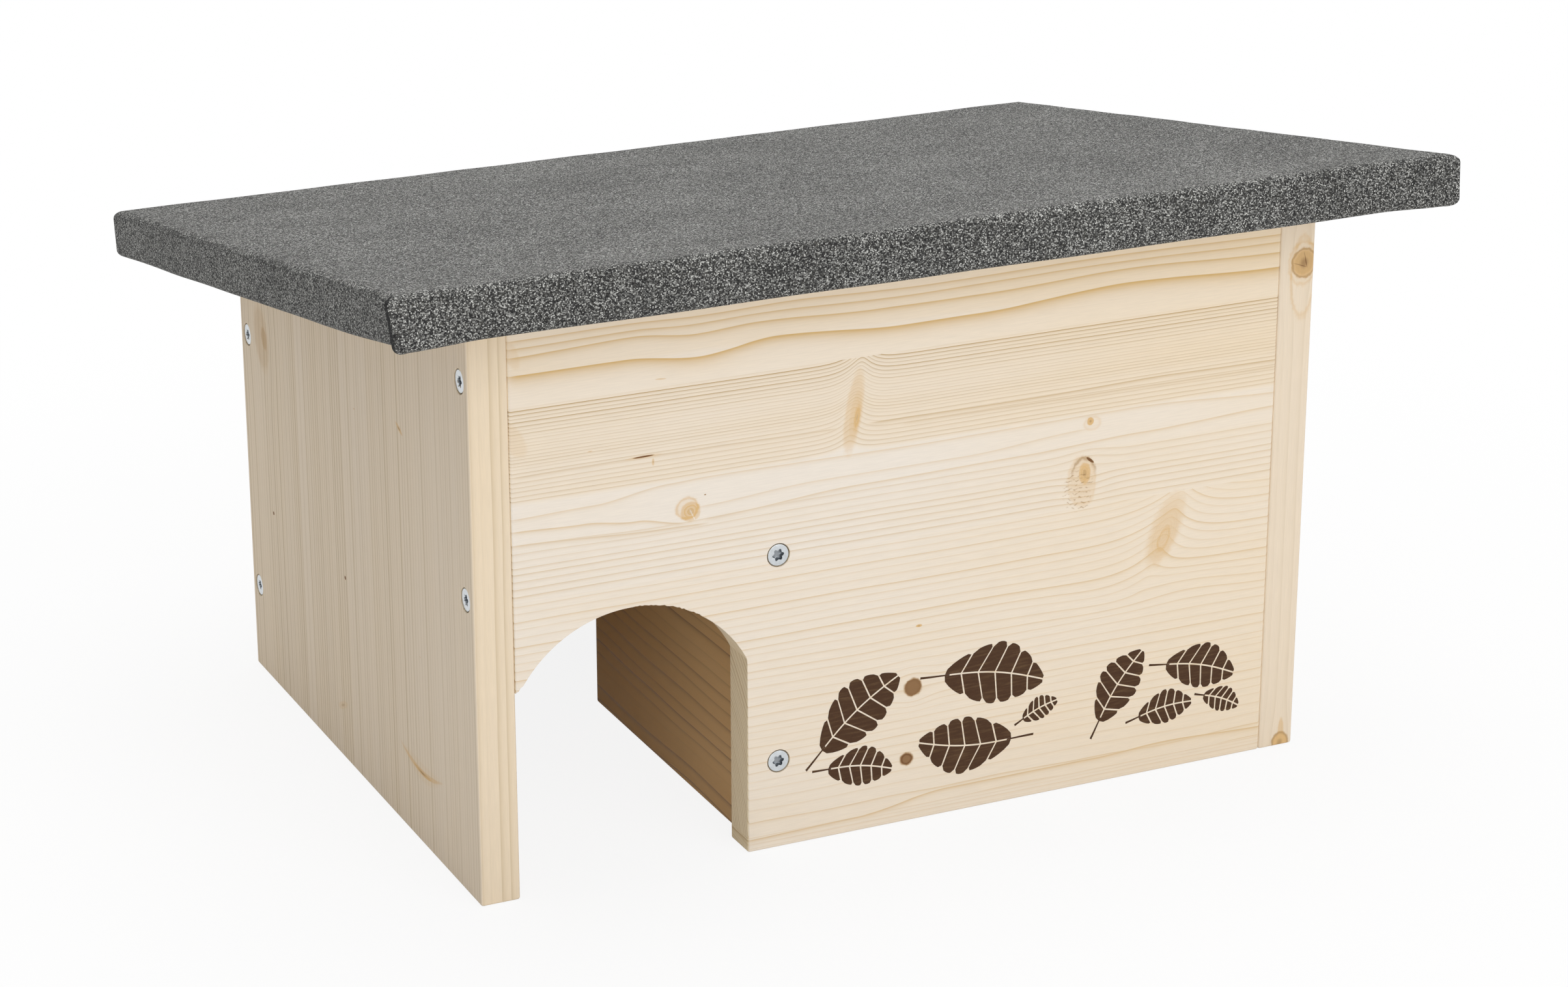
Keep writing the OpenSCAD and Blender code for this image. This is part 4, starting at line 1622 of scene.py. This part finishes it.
class HOUSE_OT_stage(bpy.types.Operator):
    """Sets the pale floor, the soft light and the camera."""

    bl_idname = "house.stage"
    bl_label = "Stage"

    CAMERA_PLACE = (-0.7393, -1.5828, 0.7445)
    CAMERA_YAW = 25.454
    CAMERA_TILT = 20.1
    CAMERA_LENS = 90.0
    CAMERA_SENSOR = 36.0
    # Each lamp's level among the light settings, its place and its size
    LAMPS = (("key", (0.5, -2.7, 1.3), 2.4), ("top", (0.2, 0.4, 2.4), 2.0), ("fill", (-2.1, -2.0, 0.7), 1.6))
    LAMPS_AIM = Vector((0, 0, 0.15))
    FLOOR_HALF = 6.0
    FLOOR_DROP = 0.3 * MM       # below the house's foot
    FLOOR_GLOW = 0.88           # how white the floor shows beside the house; further off it is all white
    GLOW_RISE = (0.2, 0.75)     # metres from the middle between which it gets whiter
    WHITE = (1.0, 1.0, 1.0, 1.0)

    def execute(self, context):
        _, colours, light = house_settings(context)
        self.floor(colours)
        self.world(context.scene, light)
        for name, place, size in self.LAMPS:
            self.lamp(name, getattr(light, name), place, size)
        self.camera(context.scene)
        context.scene.view_settings.view_transform = "Standard"
        return {"FINISHED"}

    @staticmethod
    def seen_directly(paint):
        """1 for rays from the camera, a mirror or glass, 0 for light that falls on the object."""
        rays = paint.node("ShaderNodeLightPath", None, None, "Is Camera Ray").socket.node.outputs
        camera, glossy, through = [
            Wire(paint, rays[name]) for name in ("Is Camera Ray", "Is Glossy Ray", "Is Transmission Ray")
        ]
        return (camera + glossy + through).at_most(1.0)

    def floor(self, colours):
        solid = bmesh.new()
        bmesh.ops.create_grid(solid, x_segments=24, y_segments=24, size=self.FLOOR_HALF)
        bmesh.ops.translate(solid, verts=solid.verts, vec=(0, 0, -self.FLOOR_DROP))
        floor = new_object("floor", solid)
        material, paint = new_paint("studio_floor")
        seen = self.seen_directly(paint)
        x, y, _ = paint.parts(paint.node("ShaderNodeTexCoord", None, None, "Object"))
        away = (x * x + y * y) ** 0.5
        glow = (away.ease(*self.GLOW_RISE) * (1.0 - self.FLOOR_GLOW) + self.FLOOR_GLOW) * seen
        matt = paint.node("ShaderNodeBsdfDiffuse", None, {"Color": colours.floor})
        white = paint.node("ShaderNodeEmission", None, {"Color": self.WHITE, "Strength": 1.0})
        mixed = paint.node("ShaderNodeMixShader", None, {0: glow, 1: matt, 2: white})
        paint.node("ShaderNodeOutputMaterial", None, {"Surface": mixed})
        floor.data.materials.append(material)

    def world(self, scene, light):
        world = bpy.data.worlds.new("studio")
        world.use_nodes = True
        paint = Paint(world.node_tree)
        strength = self.seen_directly(paint) * (1.0 - light.sky) + light.sky
        sky = paint.node("ShaderNodeBackground", None, {"Color": self.WHITE, "Strength": strength})
        paint.node("ShaderNodeOutputWorld", None, {"Surface": sky})
        scene.world = world

    def lamp(self, name, power, place, size):
        """A large soft lamp that faces the house."""
        data = bpy.data.lights.new(name, "AREA")
        data.size = size
        data.energy = power
        lamp = bpy.data.objects.new(name, data)
        lamp.location = place
        aim = self.LAMPS_AIM - lamp.location
        lamp.rotation_euler = aim.to_track_quat("-Z", "Y").to_euler()
        bpy.context.scene.collection.objects.link(lamp)

    def camera(self, scene):
        data = bpy.data.cameras.new("camera")
        data.lens = self.CAMERA_LENS
        data.sensor_width = self.CAMERA_SENSOR
        camera = bpy.data.objects.new("camera", data)
        camera.location = self.CAMERA_PLACE
        camera.rotation_euler = (math.radians(90 - self.CAMERA_TILT), 0, math.radians(-self.CAMERA_YAW))
        scene.collection.objects.link(camera)
        scene.camera = camera


OPERATORS = (
    HOUSE_OT_side_panels, HOUSE_OT_front_panel, HOUSE_OT_back_panel, HOUSE_OT_partition, HOUSE_OT_roof_wood,
    HOUSE_OT_roofing_felt, HOUSE_OT_fixings, HOUSE_OT_leaf_print, HOUSE_OT_stage,
)


class HOUSE_PT_panel(bpy.types.Panel):
    """Lists the house's sizes, colours, light and pieces."""

    bl_label = "Hedgehog house"
    bl_idname = "HOUSE_PT_panel"
    bl_space_type = "VIEW_3D"
    bl_region_type = "UI"
    bl_category = "House"

    def draw(self, context):
        for group in house_settings(context):
            box = self.layout.box()
            for name in group.__annotations__:
                box.prop(group, name)
        for operator in OPERATORS:
            self.layout.operator(operator.bl_idname)


CLASSES = (HouseSizes, HouseColours, HouseLight, *OPERATORS, HOUSE_PT_panel)


def register():
    for one in CLASSES:
        bpy.utils.register_class(one)
    bpy.types.Scene.house_sizes = PointerProperty(type=HouseSizes)
    bpy.types.Scene.house_colours = PointerProperty(type=HouseColours)
    bpy.types.Scene.house_light = PointerProperty(type=HouseLight)


def unregister():
    del bpy.types.Scene.house_light
    del bpy.types.Scene.house_colours
    del bpy.types.Scene.house_sizes
    for one in reversed(CLASSES):
        bpy.utils.unregister_class(one)


def main():
    register()
    bpy.ops.house.side_panels()
    bpy.ops.house.front_panel()
    bpy.ops.house.back_panel()
    bpy.ops.house.partition()
    bpy.ops.house.roof_wood()
    bpy.ops.house.roofing_felt()
    bpy.ops.house.fixings()
    bpy.ops.house.leaf_print()
    bpy.ops.house.stage()


if __name__ == "__main__":
    main()
